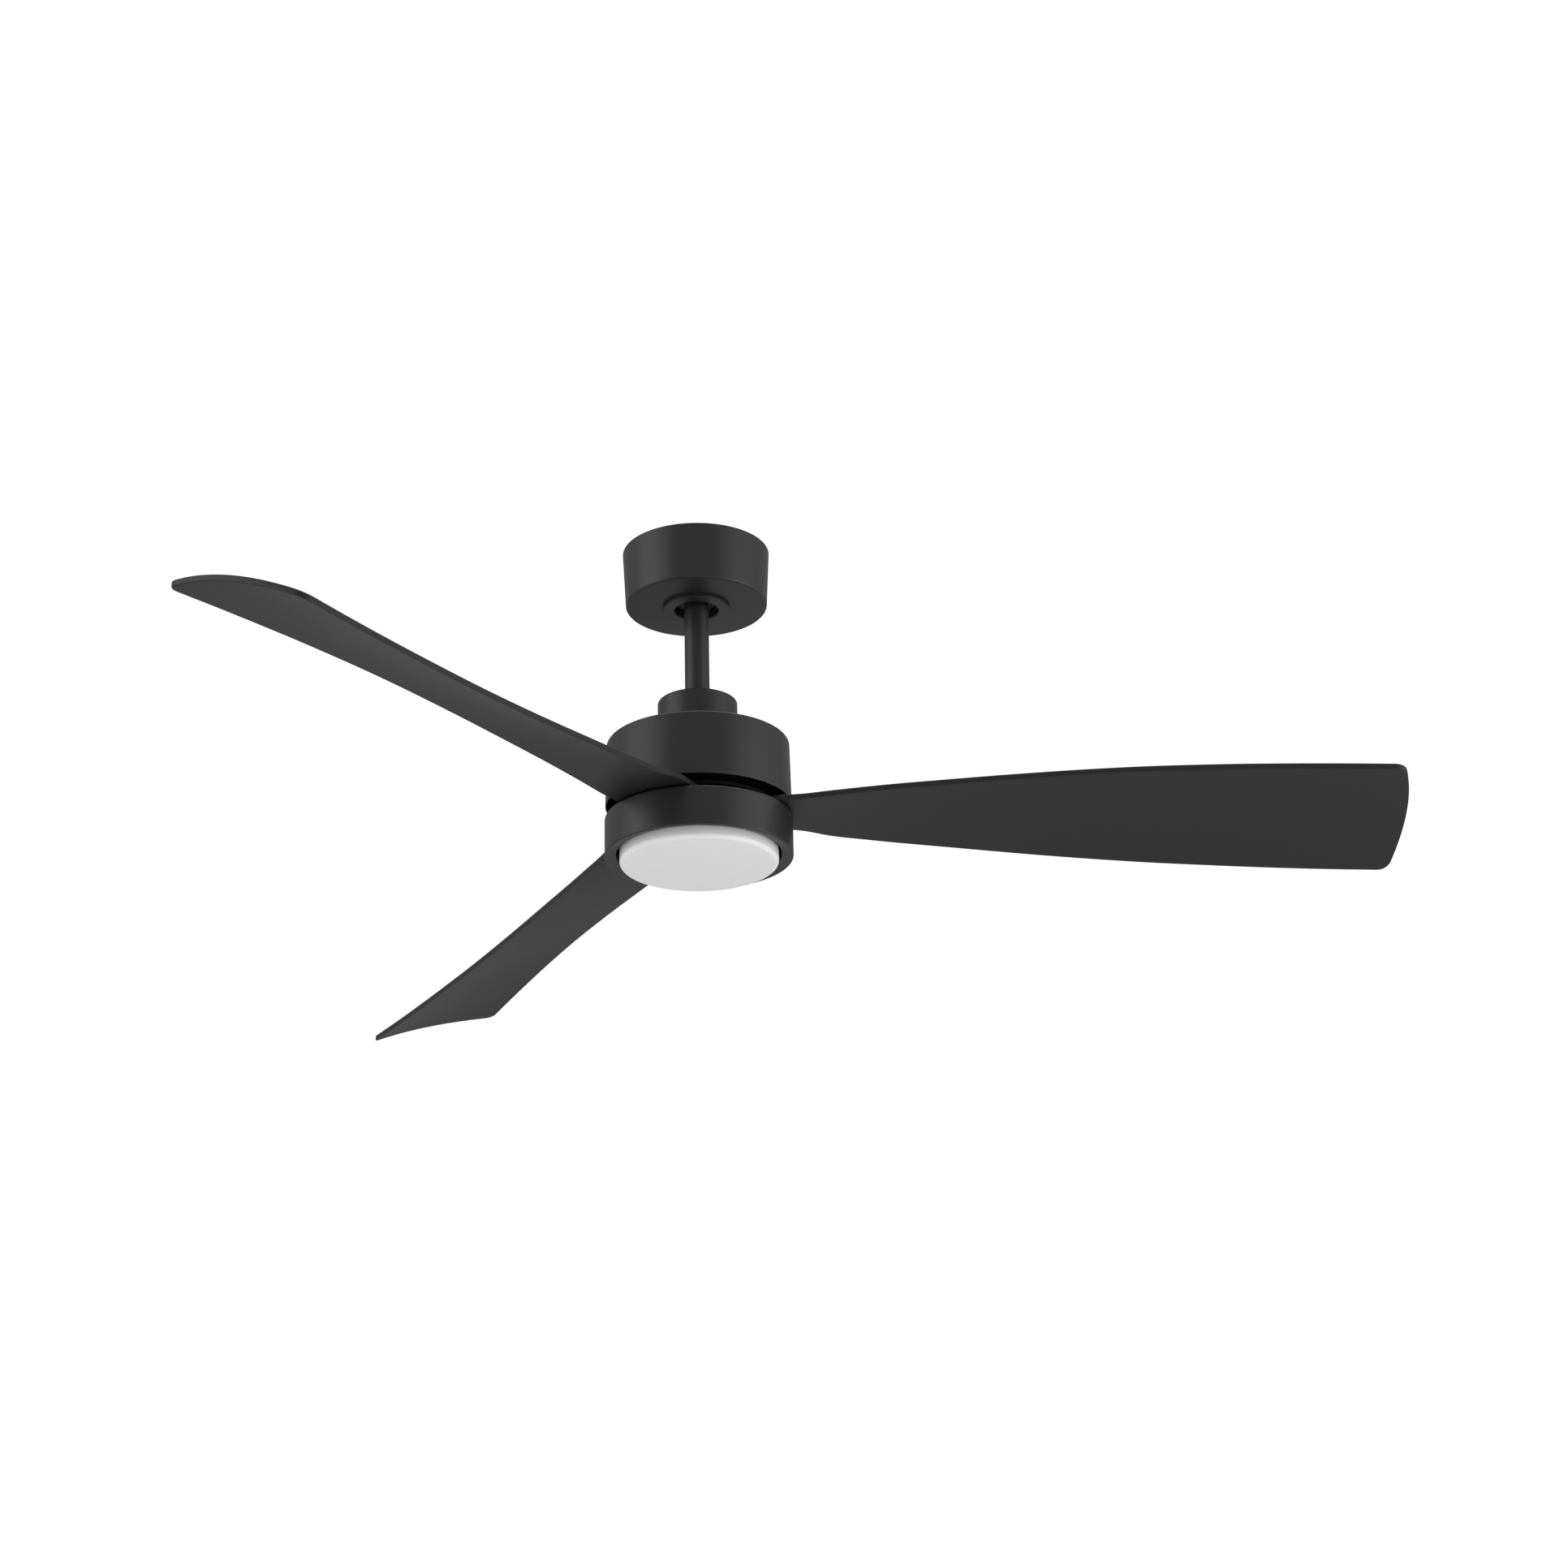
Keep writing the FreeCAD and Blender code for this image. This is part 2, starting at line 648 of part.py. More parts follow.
def make_housing():
    shell = turned(None,
                   [("shaft_r + fit", "housing_top"), ("housing_r", "housing_top"),
                    ("housing_foot_r", "housing_bottom"),
                    ("housing_foot_r - housing_wall", "housing_bottom"),
                    ("housing_r - housing_wall", "collar_top"), ("shaft_r + fit", "collar_top")],
                   [("housing_r", "housing_top", "housing_round")])
    cut("motor_housing", shell,
        *holes("screw_r + fit", "coupling_screw_circle", around(4, 45), "collar_top - 1",
               "housing_wall + 2"))


def make_shaft():
    turned("motor_shaft",
           [("shaft_bore_r", "rod_bottom - 1"), ("shaft_bore_r", "shaft_bottom"),
            ("shaft_r", "shaft_bottom"), ("shaft_r", "collar_top - collar_thick"),
            ("collar_r", "collar_top - collar_thick"),
            ("collar_r", "collar_top"), ("shaft_r", "collar_top"), ("shaft_r", "rod_bottom - 1")])


def make_bearing(name, bottom):
    # inner ring on the shaft, outer ring in the rotor, balls between them
    middle = f"{bottom} + bearing_width / 2"
    top = f"{bottom} + bearing_width"
    groove = "0 - (race_section_r)"
    inner, outer = "shaft_r + bearing_ring", "bearing_r - bearing_ring"
    turned(name + "_bearing_inner",
           [("shaft_r + fit", bottom), (inner, bottom), (inner, f"{middle} - race_half"),
            (inner, f"{middle} + race_half", groove), (inner, top), ("shaft_r + fit", top)])
    turned(name + "_bearing_outer",
           [("bearing_r", top), (outer, top), (outer, f"{middle} + race_half"),
            (outer, f"{middle} - race_half", groove), (outer, bottom), ("bearing_r", bottom)])
    group(name + "_bearing_balls", [sphere("bearing_ball_r", polar("race_r", angle, middle))
                                    for angle in around(9)])


def make_rotor_shell(name, end, inward, screw_angles):
    # half of the rotor's shell, from its closed end to the flange on the middle plane
    def level(depth):
        return f"{end} {inward} ({depth})"
    blank = turned(None,
                   [("bearing_r - 2", end), ("rotor_r", end),
                    ("rotor_r", f"rotor_middle {opposite(inward)} rotor_wall"),
                    ("rotor_flange_r", f"rotor_middle {opposite(inward)} rotor_wall"),
                    ("rotor_flange_r", "rotor_middle"), ("rotor_r - rotor_wall", "rotor_middle"),
                    ("rotor_r - rotor_wall", level("rotor_wall")),
                    ("bearing_r + rotor_wall", level("rotor_wall")),
                    ("bearing_r + rotor_wall", level("bearing_width + 1")),
                    ("bearing_r + fit", level("bearing_width + 1")),
                    ("bearing_r + fit", level("1")), ("bearing_r - 2", level("1"))])
    flange_holes = holes("screw_r + fit", "rotor_screw_circle", screw_angles,
                         "rotor_middle - rotor_wall - 1", "2 * rotor_wall + 2")
    end_holes = holes("screw_r + fit", "flange_screw_circle", screw_angles,
                      "rotor_bottom - 1", "rotor_wall + 2")
    cut(name, blank, *flange_holes, *end_holes)


def opposite(sign):
    return "+" if sign == "-" else "-"


def make_rotor():
    angles = around(6, 30)
    make_rotor_shell("rotor_shell_upper", "rotor_top", "-", angles)
    make_rotor_shell("rotor_shell_lower", "rotor_bottom", "+", angles)
    make_bearing("upper", "rotor_top - 1 - bearing_width")
    make_bearing("lower", "rotor_bottom + 1")
    group("rotor_magnets", [sector("magnet_in_r", "magnet_out_r", "rotor_middle - magnet_height / 2",
                                   "magnet_height", angle, "16") for angle in around(20)])
    group("rotor_screws", [screw(polar("rotor_screw_circle", angle, "rotor_middle + rotor_wall"), "screw_r",
                                 "2 * rotor_wall + 2", "head_r - 0.4", "head_height", True)
                           for angle in angles])


def make_stator():
    teeth = around(12)
    bottom = "rotor_middle - core_height / 2"
    hub = tube(None, "shaft_r + fit", "core_hub_r", bottom, "rotor_middle + core_height / 2")
    arms = [block(("core_r - shoe_thick / 2 - core_hub_r + 1", "tooth_width", "core_height"),
                  ("core_hub_r - 1", "0 - tooth_width / 2", bottom), angle) for angle in teeth]
    shoes = [sector("core_r - shoe_thick", "core_r", bottom, "core_height", angle - 12, "24")
             for angle in teeth]
    fuse("stator_core", hub, *arms, *shoes)

    inner = "coil_width / 2 / tan(15) + 1.5"
    length = f"core_r - shoe_thick - 1.2 - ({inner})"
    coils = []
    for angle in teeth:
        outside = block((length, "coil_width", "core_height + 2 * coil_over"),
                        (inner, "0 - coil_width / 2", f"{bottom} - coil_over"), angle)
        inside = block((f"{length} + 2", "tooth_width + 2 * fit", "core_height + 2 * fit"),
                       (f"{inner} - 1", "0 - tooth_width / 2 - fit", f"{bottom} - fit"), angle)
        coils.append(cut(None, outside, inside))
    group("stator_windings", coils)


# ---------------------------------------------------------------- blades

def make_blade_flange():
    inner, outer = "flange_ring_r", "flange_ring_r + flange_ring_width"
    blank = turned(None,
                   [("flange_hole_r", "blade_top"), ("flange_r", "blade_top"),
                    ("flange_r", "blade_flange_top"), (outer, "blade_flange_top"),
                    (outer, "rotor_bottom"), (inner, "rotor_bottom"),
                    (inner, "blade_flange_top"), ("flange_hole_r", "blade_flange_top")])
    angles = around(6, 30)
    sunk = "head_height + 0.4"
    tools = holes("screw_r + fit", "flange_screw_circle", angles, "blade_top - 1", "blade_gap")
    tools += holes("head_r + loose", "flange_screw_circle", angles, "blade_top - 1", f"{sunk} + 1")
    for blade in around(blade_count):
        for reach, side in blade_screw_places:
            spot = blade_spot(reach, side, blade, "blade_top - 1")
            tools.append(rod("blade_screw_r + fit", "flange_thick + 2", spot))
    cut("blade_flange", blank, *tools)

    length = f"rotor_bottom + rotor_wall + 1.5 - blade_top - ({sunk})"
    group("flange_screws", [screw(polar("flange_screw_circle", angle, f"blade_top + {sunk}"), "screw_r",
                                  length, "head_r", "head_height") for angle in angles])


def blade_spot(reach, side, angle, level):
    x = f"{reach} * cos({angle}) - ({side}) * sin({angle})"
    y = f"{reach} * sin({angle}) + ({side}) * cos({angle})"
    return (x, y, level)


def blade_underside():
    # the surface through rows of points across the blade: flat at the root, then pitched and bowed
    root, span = number("blade_root_r"), number("blade_span_r")
    flat = number("blade_flat_r")
    overhang = 12
    rows = []
    for share, pitch, droop in blade_stations:
        reach = flat + share * (span - flat) if share > 0 else flat + share * (flat - root + 2)
        half = (number("blade_root_chord") + number("blade_widening") * reach) / 2
        level = number("blade_bottom") - number("blade_drop") * droop
        slope = math.tan(math.radians(pitch))
        bow = number("blade_camber") * max(share, 0)
        row = []
        for across in (-1, -0.5, 0, 0.5, 1):
            y = across * (half + overhang)
            row.append(FreeCAD.Vector(reach, y, level - slope * y + bow * (1 - (y / half) ** 2)))
        rows.append(row)
    surface = Part.BSplineSurface()
    surface.interpolate(rows)
    return surface.toShape()


def blade_outline():
    # the blade seen from below: straight widening edges and a bowed tip with round corners
    root, tip = number("blade_root_r"), number("blade_span_r")
    bow = number("blade_tip_bow")
    corner = tip - bow
    half_root = (number("blade_root_chord") + number("blade_widening") * root) / 2
    half_tip = (number("blade_root_chord") + number("blade_widening") * corner) / 2
    low = number("blade_bottom") - 4 * number("blade_drop")
    edges = [Part.makeLine(FreeCAD.Vector(root, -half_root, low), FreeCAD.Vector(corner, -half_tip, low)),
             Part.Arc(FreeCAD.Vector(corner, -half_tip, low), FreeCAD.Vector(tip, 0, low),
                      FreeCAD.Vector(corner, half_tip, low)).toShape(),
             Part.makeLine(FreeCAD.Vector(corner, half_tip, low), FreeCAD.Vector(root, half_root, low)),
             Part.makeLine(FreeCAD.Vector(root, half_root, low), FreeCAD.Vector(root, -half_root, low))]
    prism = Part.Face(Part.Wire(edges)).extrude(FreeCAD.Vector(0, 0, 8 * number("blade_drop")))
    upright = [edge for edge in prism.Edges
               if abs(edge.tangentAt(edge.FirstParameter).z) > 0.99 and edge.CenterOfMass.x > corner - 1]
    return prism.makeFillet(number("blade_corner_r"), upright)


def make_blades():
    thickness = FreeCAD.Vector(0, 0, number("blade_thick"))
    blank = blade_underside().extrude(thickness).common(blade_outline())
    for reach, side in blade_screw_places:
        base = FreeCAD.Vector(reach, side, number("blade_bottom") - 1)
        shank = Part.makeCylinder(number("blade_screw_r + fit"), number("blade_thick") + 2, base)
        seat = Part.makeCone(number("blade_head_r + fit") + 1, number("blade_screw_r + fit"),
                             number("blade_head_r - blade_screw_r") + 1, base)
        blank = blank.cut(shank.fuse(seat))
    for index, angle in enumerate(around(blade_count), 1):
        blade = doc.addObject("Part::Feature", "blade_%d" % index)
        blade.Shape = blank.Solids[0]
        turn = FreeCAD.Rotation(FreeCAD.Vector(0, 0, 1), angle)
        blade.Placement = FreeCAD.Placement(FreeCAD.Vector(), turn)
        keep("blade_%d" % index, blade)


def make_blade_screws():
    screws = []
    length = "blade_thick + flange_thick + 1"
    for angle in around(blade_count):
        for reach, side in blade_screw_places:
            shank = rod("blade_screw_r", length, blade_spot(reach, side, angle, "blade_bottom"))
            head = cone("blade_head_r", "blade_screw_r", "blade_head_r - blade_screw_r",
                        blade_spot(reach, side, angle, "blade_bottom"))
            screws.append(fuse(None, shank, head))
    group("blade_screws", screws)


# ---------------------------------------------------------------- light kit

def make_light_ring():
    turned_ring = turned(None,
                         [("collar_r", "ring_top"), ("collar_r", "fitter_top"),
                          ("ring_r - ring_wall", "fitter_top"),
                          ("ring_r - ring_wall", "ring_bottom + 2 * ring_wall"),
                          ("ring_opening_r + ring_wall", "ring_bottom + ring_dish + ring_wall"),
                          ("ring_opening_r + ring_wall", "ring_bottom + ring_lip"),
                          ("ring_opening_r", "ring_bottom + ring_lip"),
                          ("ring_opening_r", "ring_bottom + ring_dish"),
                          ("ring_r", "ring_bottom"), ("ring_r", "ring_top")],
                         [("ring_r", "ring_top", "ring_top_round"), ("ring_r", "ring_bottom", "ring_round")])
    angles = around(3, 30)
    cut("light_ring", turned_ring,
        *holes("screw_r + fit", "fitter_screw_circle", angles, "fitter_top - 1", "ring_wall + 2"))
    plate = tube(None, "shaft_r + fit", "fitter_r", "fitter_bottom", "fitter_top")
    cut("fitter_plate", plate,
        *holes("screw_r + fit", "fitter_screw_circle", angles, "fitter_bottom - 1", "fitter_thick + 2"),
        *holes("screw_r + fit", "tray_screw_circle", around(3, 90), "fitter_bottom - 1",
               "fitter_thick + 2"))
    group("light_ring_screws", [screw(polar("fitter_screw_circle", angle, "fitter_bottom"), "screw_r",
                                      "fitter_thick + ring_wall - 0.2", "head_r", "head_height")
                                for angle in angles])
    nut = doc.addObject("Part::Prism", "Nut")
    nut.Polygon = 6
    bind(nut, Circumradius="nut_r", Height="nut_height")
    place(nut, ("0", "0", "nut_bottom"))
    cut("shaft_nut", nut, rod("shaft_r + fit", "nut_height", ("0", "0", "nut_bottom")))


def make_tray():
    pan = turned(None,
                 [("0", "tray_floor"), ("tray_r - tray_wall", "tray_floor"),
                  ("tray_r - tray_wall", "fitter_bottom - tray_wall"),
                  ("tray_r - tray_rim", "fitter_bottom - tray_wall"),
                  ("tray_r - tray_rim", "fitter_bottom"),
                  ("tray_r", "fitter_bottom"), ("tray_r", "tray_bottom"), ("0", "tray_bottom")])
    hooks = []
    for angle in around(3):
        start = angle - number("hook_angle") / 2
        hooks.append(sector("tray_r - 1", "tray_r + hook_reach", "hook_top - hook_thick", "hook_thick",
                            start, "hook_angle"))
        hooks.append(sector("tray_r - 1", "tray_r + hook_reach", "hook_top - hook_thick",
                            "hook_thick + lug_thick + 1", start - 2, "2"))
    tools = holes("screw_r + fit", "tray_screw_circle", around(3, 90), "fitter_bottom - tray_wall - 1", "4")
    tools += holes("screw_r + fit", "board_screw_circle", around(3), "tray_bottom - 1", "tray_wall + 2")
    tools.append(rod("wire_hole_r", "tray_wall + 2", ("0", "0 - wire_hole_offset", "tray_bottom - 1")))
    cut("led_tray", fuse(None, pan, *hooks), *tools)
    group("tray_screws", [screw(polar("tray_screw_circle", angle, "fitter_bottom - tray_wall"), "screw_r",
                                "tray_wall + fitter_thick", "head_r", "head_height")
                          for angle in around(3, 90)])


def make_light_source():
    disc = tube(None, "6", "board_r", "board_bottom", "tray_bottom")
    cut("led_board", disc,
        *holes("screw_r + fit", "board_screw_circle", around(3), "board_bottom - 1", "board_thick + 2"),
        rod("wire_hole_r", "board_thick + 2", ("0", "0 - wire_hole_offset", "board_bottom - 1")))
    group("board_screws", [screw(polar("board_screw_circle", angle, "board_bottom"), "screw_r",
                                 "board_thick + tray_wall", "head_r - 0.4", "head_height - 0.4")
                           for angle in around(3)])
    chips = []
    size = ("chip_width", "chip_width", "chip_height")
    for circle, count, first in (("board_r - 10", 24, 7.5), ("board_r - 37", 12, 15)):
        corner = (f"{circle} - chip_width / 2", "0 - chip_width / 2", "board_bottom - chip_height")
        chips += [block(size, corner, angle) for angle in around(count, first)]
    group("led_chips", chips)
    keep("led_driver", block(("driver_length", "driver_width", "driver_height"),
                             ("0 - driver_length / 2", "driver_offset", "tray_floor")))


def make_lens():
    wall = "lens_wall"
    inner_r = "lens_r - lens_wall"
    edge = "lens_bottom + lens_dome"
    outer_bow = "(lens_r * lens_r + lens_dome * lens_dome) / (2 * lens_dome)"
    inner_bow = f"(({inner_r}) * ({inner_r}) + lens_dome * lens_dome) / (2 * lens_dome)"
    cup = turned(None,
                 [("0", "lens_bottom"), ("lens_r", edge, outer_bow), ("lens_r", "lens_top"),
                  (inner_r, "lens_top"), (inner_r, f"{edge} + {wall}"),
                  ("0", f"lens_bottom + {wall}", f"0 - ({inner_bow})")],
                 [("lens_r", edge, "lens_round"), (inner_r, f"{edge} + {wall}", "lens_round - lens_wall")])
    lugs = [sector(f"{inner_r} - lug_reach", f"{inner_r} + 1", "hook_top + loose + 0.1", "lug_thick",
                   angle - number("lug_angle") / 2, "lug_angle") for angle in around(3)]
    fuse("lens", cup, *lugs)


# ---------------------------------------------------------------- build, check and write

make_bracket()
make_canopy()
make_canopy_contents()
make_ball()
make_downrod()
make_lead_wires()
make_coupling()
make_coupling_cover()
make_housing()
make_shaft()
make_rotor()
make_stator()
make_blade_flange()
make_blades()
make_blade_screws()
make_light_ring()
make_tray()
make_light_source()
make_lens()
doc.recompute()

for thing in doc.Objects:
    if "Invalid" in thing.State or "Error" in thing.State:
        raise RuntimeError("%s (%s) failed: %s" % (thing.Label, thing.Name, thing.State))
for node in nodes:
    if node.Shape.isNull() or not node.Shape.isValid() or not node.Shape.Solids:
        raise RuntimeError("%s has no valid solid" % node.Label)

os.makedirs("parts", exist_ok=True)
for node in nodes:
    node.Shape.exportStep("parts/%s.step" % node.Label)
    print("%-22s %3d solids %10.1f mm3" % (node.Label, len(node.Shape.Solids), node.Shape.Volume))
print("%d nodes" % len(nodes))
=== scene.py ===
import json
import math

import bpy
import numpy as np
from mathutils import Matrix, Vector


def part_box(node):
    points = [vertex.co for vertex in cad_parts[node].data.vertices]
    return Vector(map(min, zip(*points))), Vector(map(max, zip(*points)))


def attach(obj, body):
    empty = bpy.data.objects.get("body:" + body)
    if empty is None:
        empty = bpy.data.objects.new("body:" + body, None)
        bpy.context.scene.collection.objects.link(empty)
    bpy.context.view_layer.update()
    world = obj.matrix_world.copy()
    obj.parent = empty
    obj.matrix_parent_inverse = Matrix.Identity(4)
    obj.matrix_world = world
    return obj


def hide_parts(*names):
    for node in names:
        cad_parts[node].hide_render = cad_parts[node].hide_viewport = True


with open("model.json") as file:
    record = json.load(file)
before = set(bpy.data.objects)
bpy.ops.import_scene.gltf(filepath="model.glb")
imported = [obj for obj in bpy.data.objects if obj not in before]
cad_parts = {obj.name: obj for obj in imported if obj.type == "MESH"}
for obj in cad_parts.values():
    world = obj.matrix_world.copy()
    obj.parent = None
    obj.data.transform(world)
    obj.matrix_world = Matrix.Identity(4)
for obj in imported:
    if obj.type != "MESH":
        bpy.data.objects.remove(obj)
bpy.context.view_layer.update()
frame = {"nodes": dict(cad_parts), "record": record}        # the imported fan: nodes, bodies and joints in metres
print("frame loaded,", len(frame["nodes"]), "nodes")


def gridMesh(name, points, wrapRows=False, wrapColumns=False):
    # points[row, column] is a sheet of positions: neighbours make quads, and wrapped ends join up
    rows, columns = points.shape[:2]
    index = np.arange(rows * columns).reshape(rows, columns)
    if wrapRows:
        index = np.vstack([index, index[:1]])
    if wrapColumns:
        index = np.hstack([index, index[:, :1]])
    quads = np.stack([index[:-1, :-1], index[:-1, 1:], index[1:, 1:], index[1:, :-1]], -1)
    return rawMesh(name, points.reshape(-1, 3), quads.reshape(-1, 4))


def rawMesh(name, vertices, quads):
    # doubled points at poles and seams are merged first, and faces that lose a side become triangles
    digits = 8        # points that agree to this many decimals of a metre are one point
    first, merged = np.unique(np.round(vertices, digits), axis=0, return_index=True, return_inverse=True)[1:]
    quads = merged.reshape(-1)[quads]
    faces = [list(dict.fromkeys(quad)) for quad in quads.tolist()]
    mesh = bpy.data.meshes.new(name)
    mesh.from_pydata(vertices[first].tolist(), [], [face for face in faces if len(face) > 2])
    mesh.validate()
    mesh.polygons.foreach_set("use_smooth", np.ones(len(mesh.polygons), bool))
    mesh.update()
    piece = bpy.data.objects.new(name, mesh)
    bpy.context.scene.collection.objects.link(piece)
    return piece


def roundedLoop(corners, steps=6, support=0.0004, straight=1.55, longest=0.48):
    # a closed outline through (radius, level, rounding) corners: each corner becomes an arc of its rounding,
    # with a support point just outside each end of the arc so that flat faces stay flat when shaded; a corner
    # that is all but straight is kept as it is, and an arc takes no more than its share of either side
    corners = np.array(corners, float)
    spots, roundings = corners[:, :2], corners[:, 2]
    outline = []
    neighbours = zip(spots, np.roll(spots, 1, 0), np.roll(spots, -1, 0), roundings)
    for here, before, after, rounding in neighbours:
        toBefore = before - here
        toAfter = after - here
        lengthBefore, lengthAfter = np.hypot(*toBefore), np.hypot(*toAfter)
        toBefore /= lengthBefore
        toAfter /= lengthAfter
        half = math.acos(np.clip(toBefore @ toAfter, -1, 1)) / 2
        if rounding <= 0 or half > straight:
            outline.append(here[None])
            continue
        reach = min(rounding / math.tan(half), longest * lengthBefore, longest * lengthAfter)
        radius = reach * math.tan(half)
        bisector = toBefore + toAfter
        centre = here + bisector / np.hypot(*bisector) * radius / math.sin(half)
        start = here + toBefore * reach - centre
        end = here + toAfter * reach - centre
        turn = math.atan2(start[0] * end[1] - start[1] * end[0], start @ end)
        angles = np.linspace(0, turn, steps + 1)[:, None]
        across = np.array([-start[1], start[0]])
        arc = centre + np.cos(angles) * start + np.sin(angles) * across
        extra = min(support, 0.25 * reach)
        outline += [(arc[0] + toBefore * extra)[None], arc, (arc[-1] + toAfter * extra)[None]]
    return np.vstack(outline)


def latheMesh(name, loop, segments=192, closed=True):
    # the outline (radius, level) carried round the fan's axis: x = radius cos a, y = radius sin a
    angles = np.linspace(0, 2 * math.pi, segments, endpoint=False)[:, None]
    radius, level = loop[None, :, 0], loop[None, :, 1]
    points = np.stack([radius * np.cos(angles), radius * np.sin(angles), level + 0 * angles], -1)
    piece = gridMesh(name, points, wrapRows=True, wrapColumns=closed)
    return faceOutwards(piece)


def faceOutwards(piece):
    # turns every face of a closed piece to the outside: the signed volume of its faces must be positive
    mesh = piece.data
    mesh.calc_loop_triangles()
    points = np.zeros(len(mesh.vertices) * 3)
    mesh.vertices.foreach_get("co", points)
    points = points.reshape(-1, 3)
    triangles = np.zeros(len(mesh.loop_triangles) * 3, int)
    mesh.loop_triangles.foreach_get("vertices", triangles)
    a, b, c = points[triangles.reshape(-1, 3)].transpose(1, 0, 2)
    if np.einsum("ij,ij->i", a, np.cross(b, c)).sum() < 0:
        mesh.flip_normals()
    return piece


def finishPiece(piece, material, slotName, body, *nodes):
    piece.data.materials.append(material)
    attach(piece, body)
    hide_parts(*nodes)


def nodeGroup(name, inputs, outputs):
    tree = bpy.data.node_groups.new(name, "ShaderNodeTree")
    for socketName, kind, value in inputs:
        socket = tree.interface.new_socket(socketName, in_out="INPUT", socket_type=kind)
        socket.default_value = value
    for socketName, kind in outputs:
        tree.interface.new_socket(socketName, in_out="OUTPUT", socket_type=kind)
    return tree, tree.nodes.new("NodeGroupInput"), tree.nodes.new("NodeGroupOutput")


def addNode(tree, kind, settings=None, **values):
    node = tree.nodes.new(kind)
    for name, value in (settings or {}).items():
        setattr(node, name, value)
    for name, value in values.items():
        node.inputs[name.replace("_", " ")].default_value = value
    return node


def mixColours(tree, factor, first, second):
    mix = tree.nodes.new("ShaderNodeMix")
    mix.data_type = "RGBA"
    tree.links.new(factor, mix.inputs[0])
    for socket, value in ((mix.inputs[6], first), (mix.inputs[7], second)):
        if isinstance(value, bpy.types.NodeSocket):
            tree.links.new(value, socket)
        else:
            socket.default_value = value
    return mix.outputs[2]


def rangeMap(tree, value, low, high, toLow, toHigh):
    # carries low..high of the value over to toLow..toHigh; the last two are numbers or sockets
    node = addNode(tree, "ShaderNodeMapRange")
    tree.links.new(value, node.inputs["Value"])
    for name, setting in (("From Min", low), ("From Max", high), ("To Min", toLow), ("To Max", toHigh)):
        if isinstance(setting, bpy.types.NodeSocket):
            tree.links.new(setting, node.inputs[name])
        else:
            node.inputs[name].default_value = setting
    return node.outputs["Result"]


def makeFineGrain():
    # the pebbled skin of sprayed or moulded finishes: fine and coarse noise give height, roughness and tone
    tree, start, end = nodeGroup(
        "fineGrain",
        [("Grain Scale", "NodeSocketFloat", 900.0), ("Base Roughness", "NodeSocketFloat", 0.45),
         ("Roughness Spread", "NodeSocketFloat", 0.08), ("Colour", "NodeSocketColor", (0.02, 0.02, 0.02, 1)),
         ("Tone Spread", "NodeSocketFloat", 0.12)],
        [("Colour", "NodeSocketColor"), ("Roughness", "NodeSocketFloat"), ("Height", "NodeSocketFloat")])
    place = tree.nodes.new("ShaderNodeTexCoord").outputs["Object"]
    fine = addNode(tree, "ShaderNodeTexNoise", Detail=3.0, Roughness=0.6)
    coarse = addNode(tree, "ShaderNodeTexNoise", Scale=14.0, Detail=4.0, Roughness=0.55)
    tree.links.new(place, fine.inputs["Vector"])
    tree.links.new(place, coarse.inputs["Vector"])
    tree.links.new(start.outputs["Grain Scale"], fine.inputs["Scale"])
    tree.links.new(fine.outputs["Fac"], end.inputs["Height"])
    spread = addNode(tree, "ShaderNodeMath", {"operation": "MULTIPLY_ADD"})
    centred = addNode(tree, "ShaderNodeMath", {"operation": "SUBTRACT"})
    tree.links.new(coarse.outputs["Fac"], centred.inputs[0])
    centred.inputs[1].default_value = 0.5
    tree.links.new(centred.outputs[0], spread.inputs[0])
    tree.links.new(start.outputs["Roughness Spread"], spread.inputs[1])
    tree.links.new(start.outputs["Base Roughness"], spread.inputs[2])
    tree.links.new(spread.outputs[0], end.inputs["Roughness"])
    tone = addNode(tree, "ShaderNodeMath", {"operation": "MULTIPLY_ADD"})
    tree.links.new(centred.outputs[0], tone.inputs[0])
    tree.links.new(start.outputs["Tone Spread"], tone.inputs[1])
    tone.inputs[2].default_value = 1.0
    scaled = addNode(tree, "ShaderNodeVectorMath", {"operation": "SCALE"})
    tree.links.new(start.outputs["Colour"], scaled.inputs[0])
    tree.links.new(tone.outputs[0], scaled.inputs["Scale"])
    tree.links.new(scaled.outputs[0], end.inputs["Colour"])
    return tree


def makeSettledDust():
    # a thin veil on faces that look up, broken by noise: mask = upward share x noise x amount
    tree, start, end = nodeGroup(
        "settledDust",
        [("Colour", "NodeSocketColor", (0.02, 0.02, 0.02, 1)),
         ("Dust", "NodeSocketColor", (0.3, 0.29, 0.27, 1)), ("Amount", "NodeSocketFloat", 0.04)],
        [("Colour", "NodeSocketColor"), ("Mask", "NodeSocketFloat")])
    place = tree.nodes.new("ShaderNodeTexCoord")
    split = tree.nodes.new("ShaderNodeSeparateXYZ")
    tree.links.new(place.outputs["Normal"], split.inputs[0])
    upward = rangeMap(tree, split.outputs["Z"], 0.2, 1.0, 0.0, start.outputs["Amount"])
    noise = addNode(tree, "ShaderNodeTexNoise", Scale=45.0, Detail=6.0, Roughness=0.7)
    tree.links.new(place.outputs["Object"], noise.inputs["Vector"])
    patches = rangeMap(tree, noise.outputs["Fac"], 0.3, 0.7, 0.35, 1.0)
    mask = addNode(tree, "ShaderNodeMath", {"operation": "MULTIPLY"})
    tree.links.new(upward, mask.inputs[0])
    tree.links.new(patches, mask.inputs[1])
    tree.links.new(mask.outputs[0], end.inputs["Mask"])
    tree.links.new(mixColours(tree, mask.outputs[0], start.outputs["Colour"], start.outputs["Dust"]),
                   end.inputs["Colour"])
    return tree


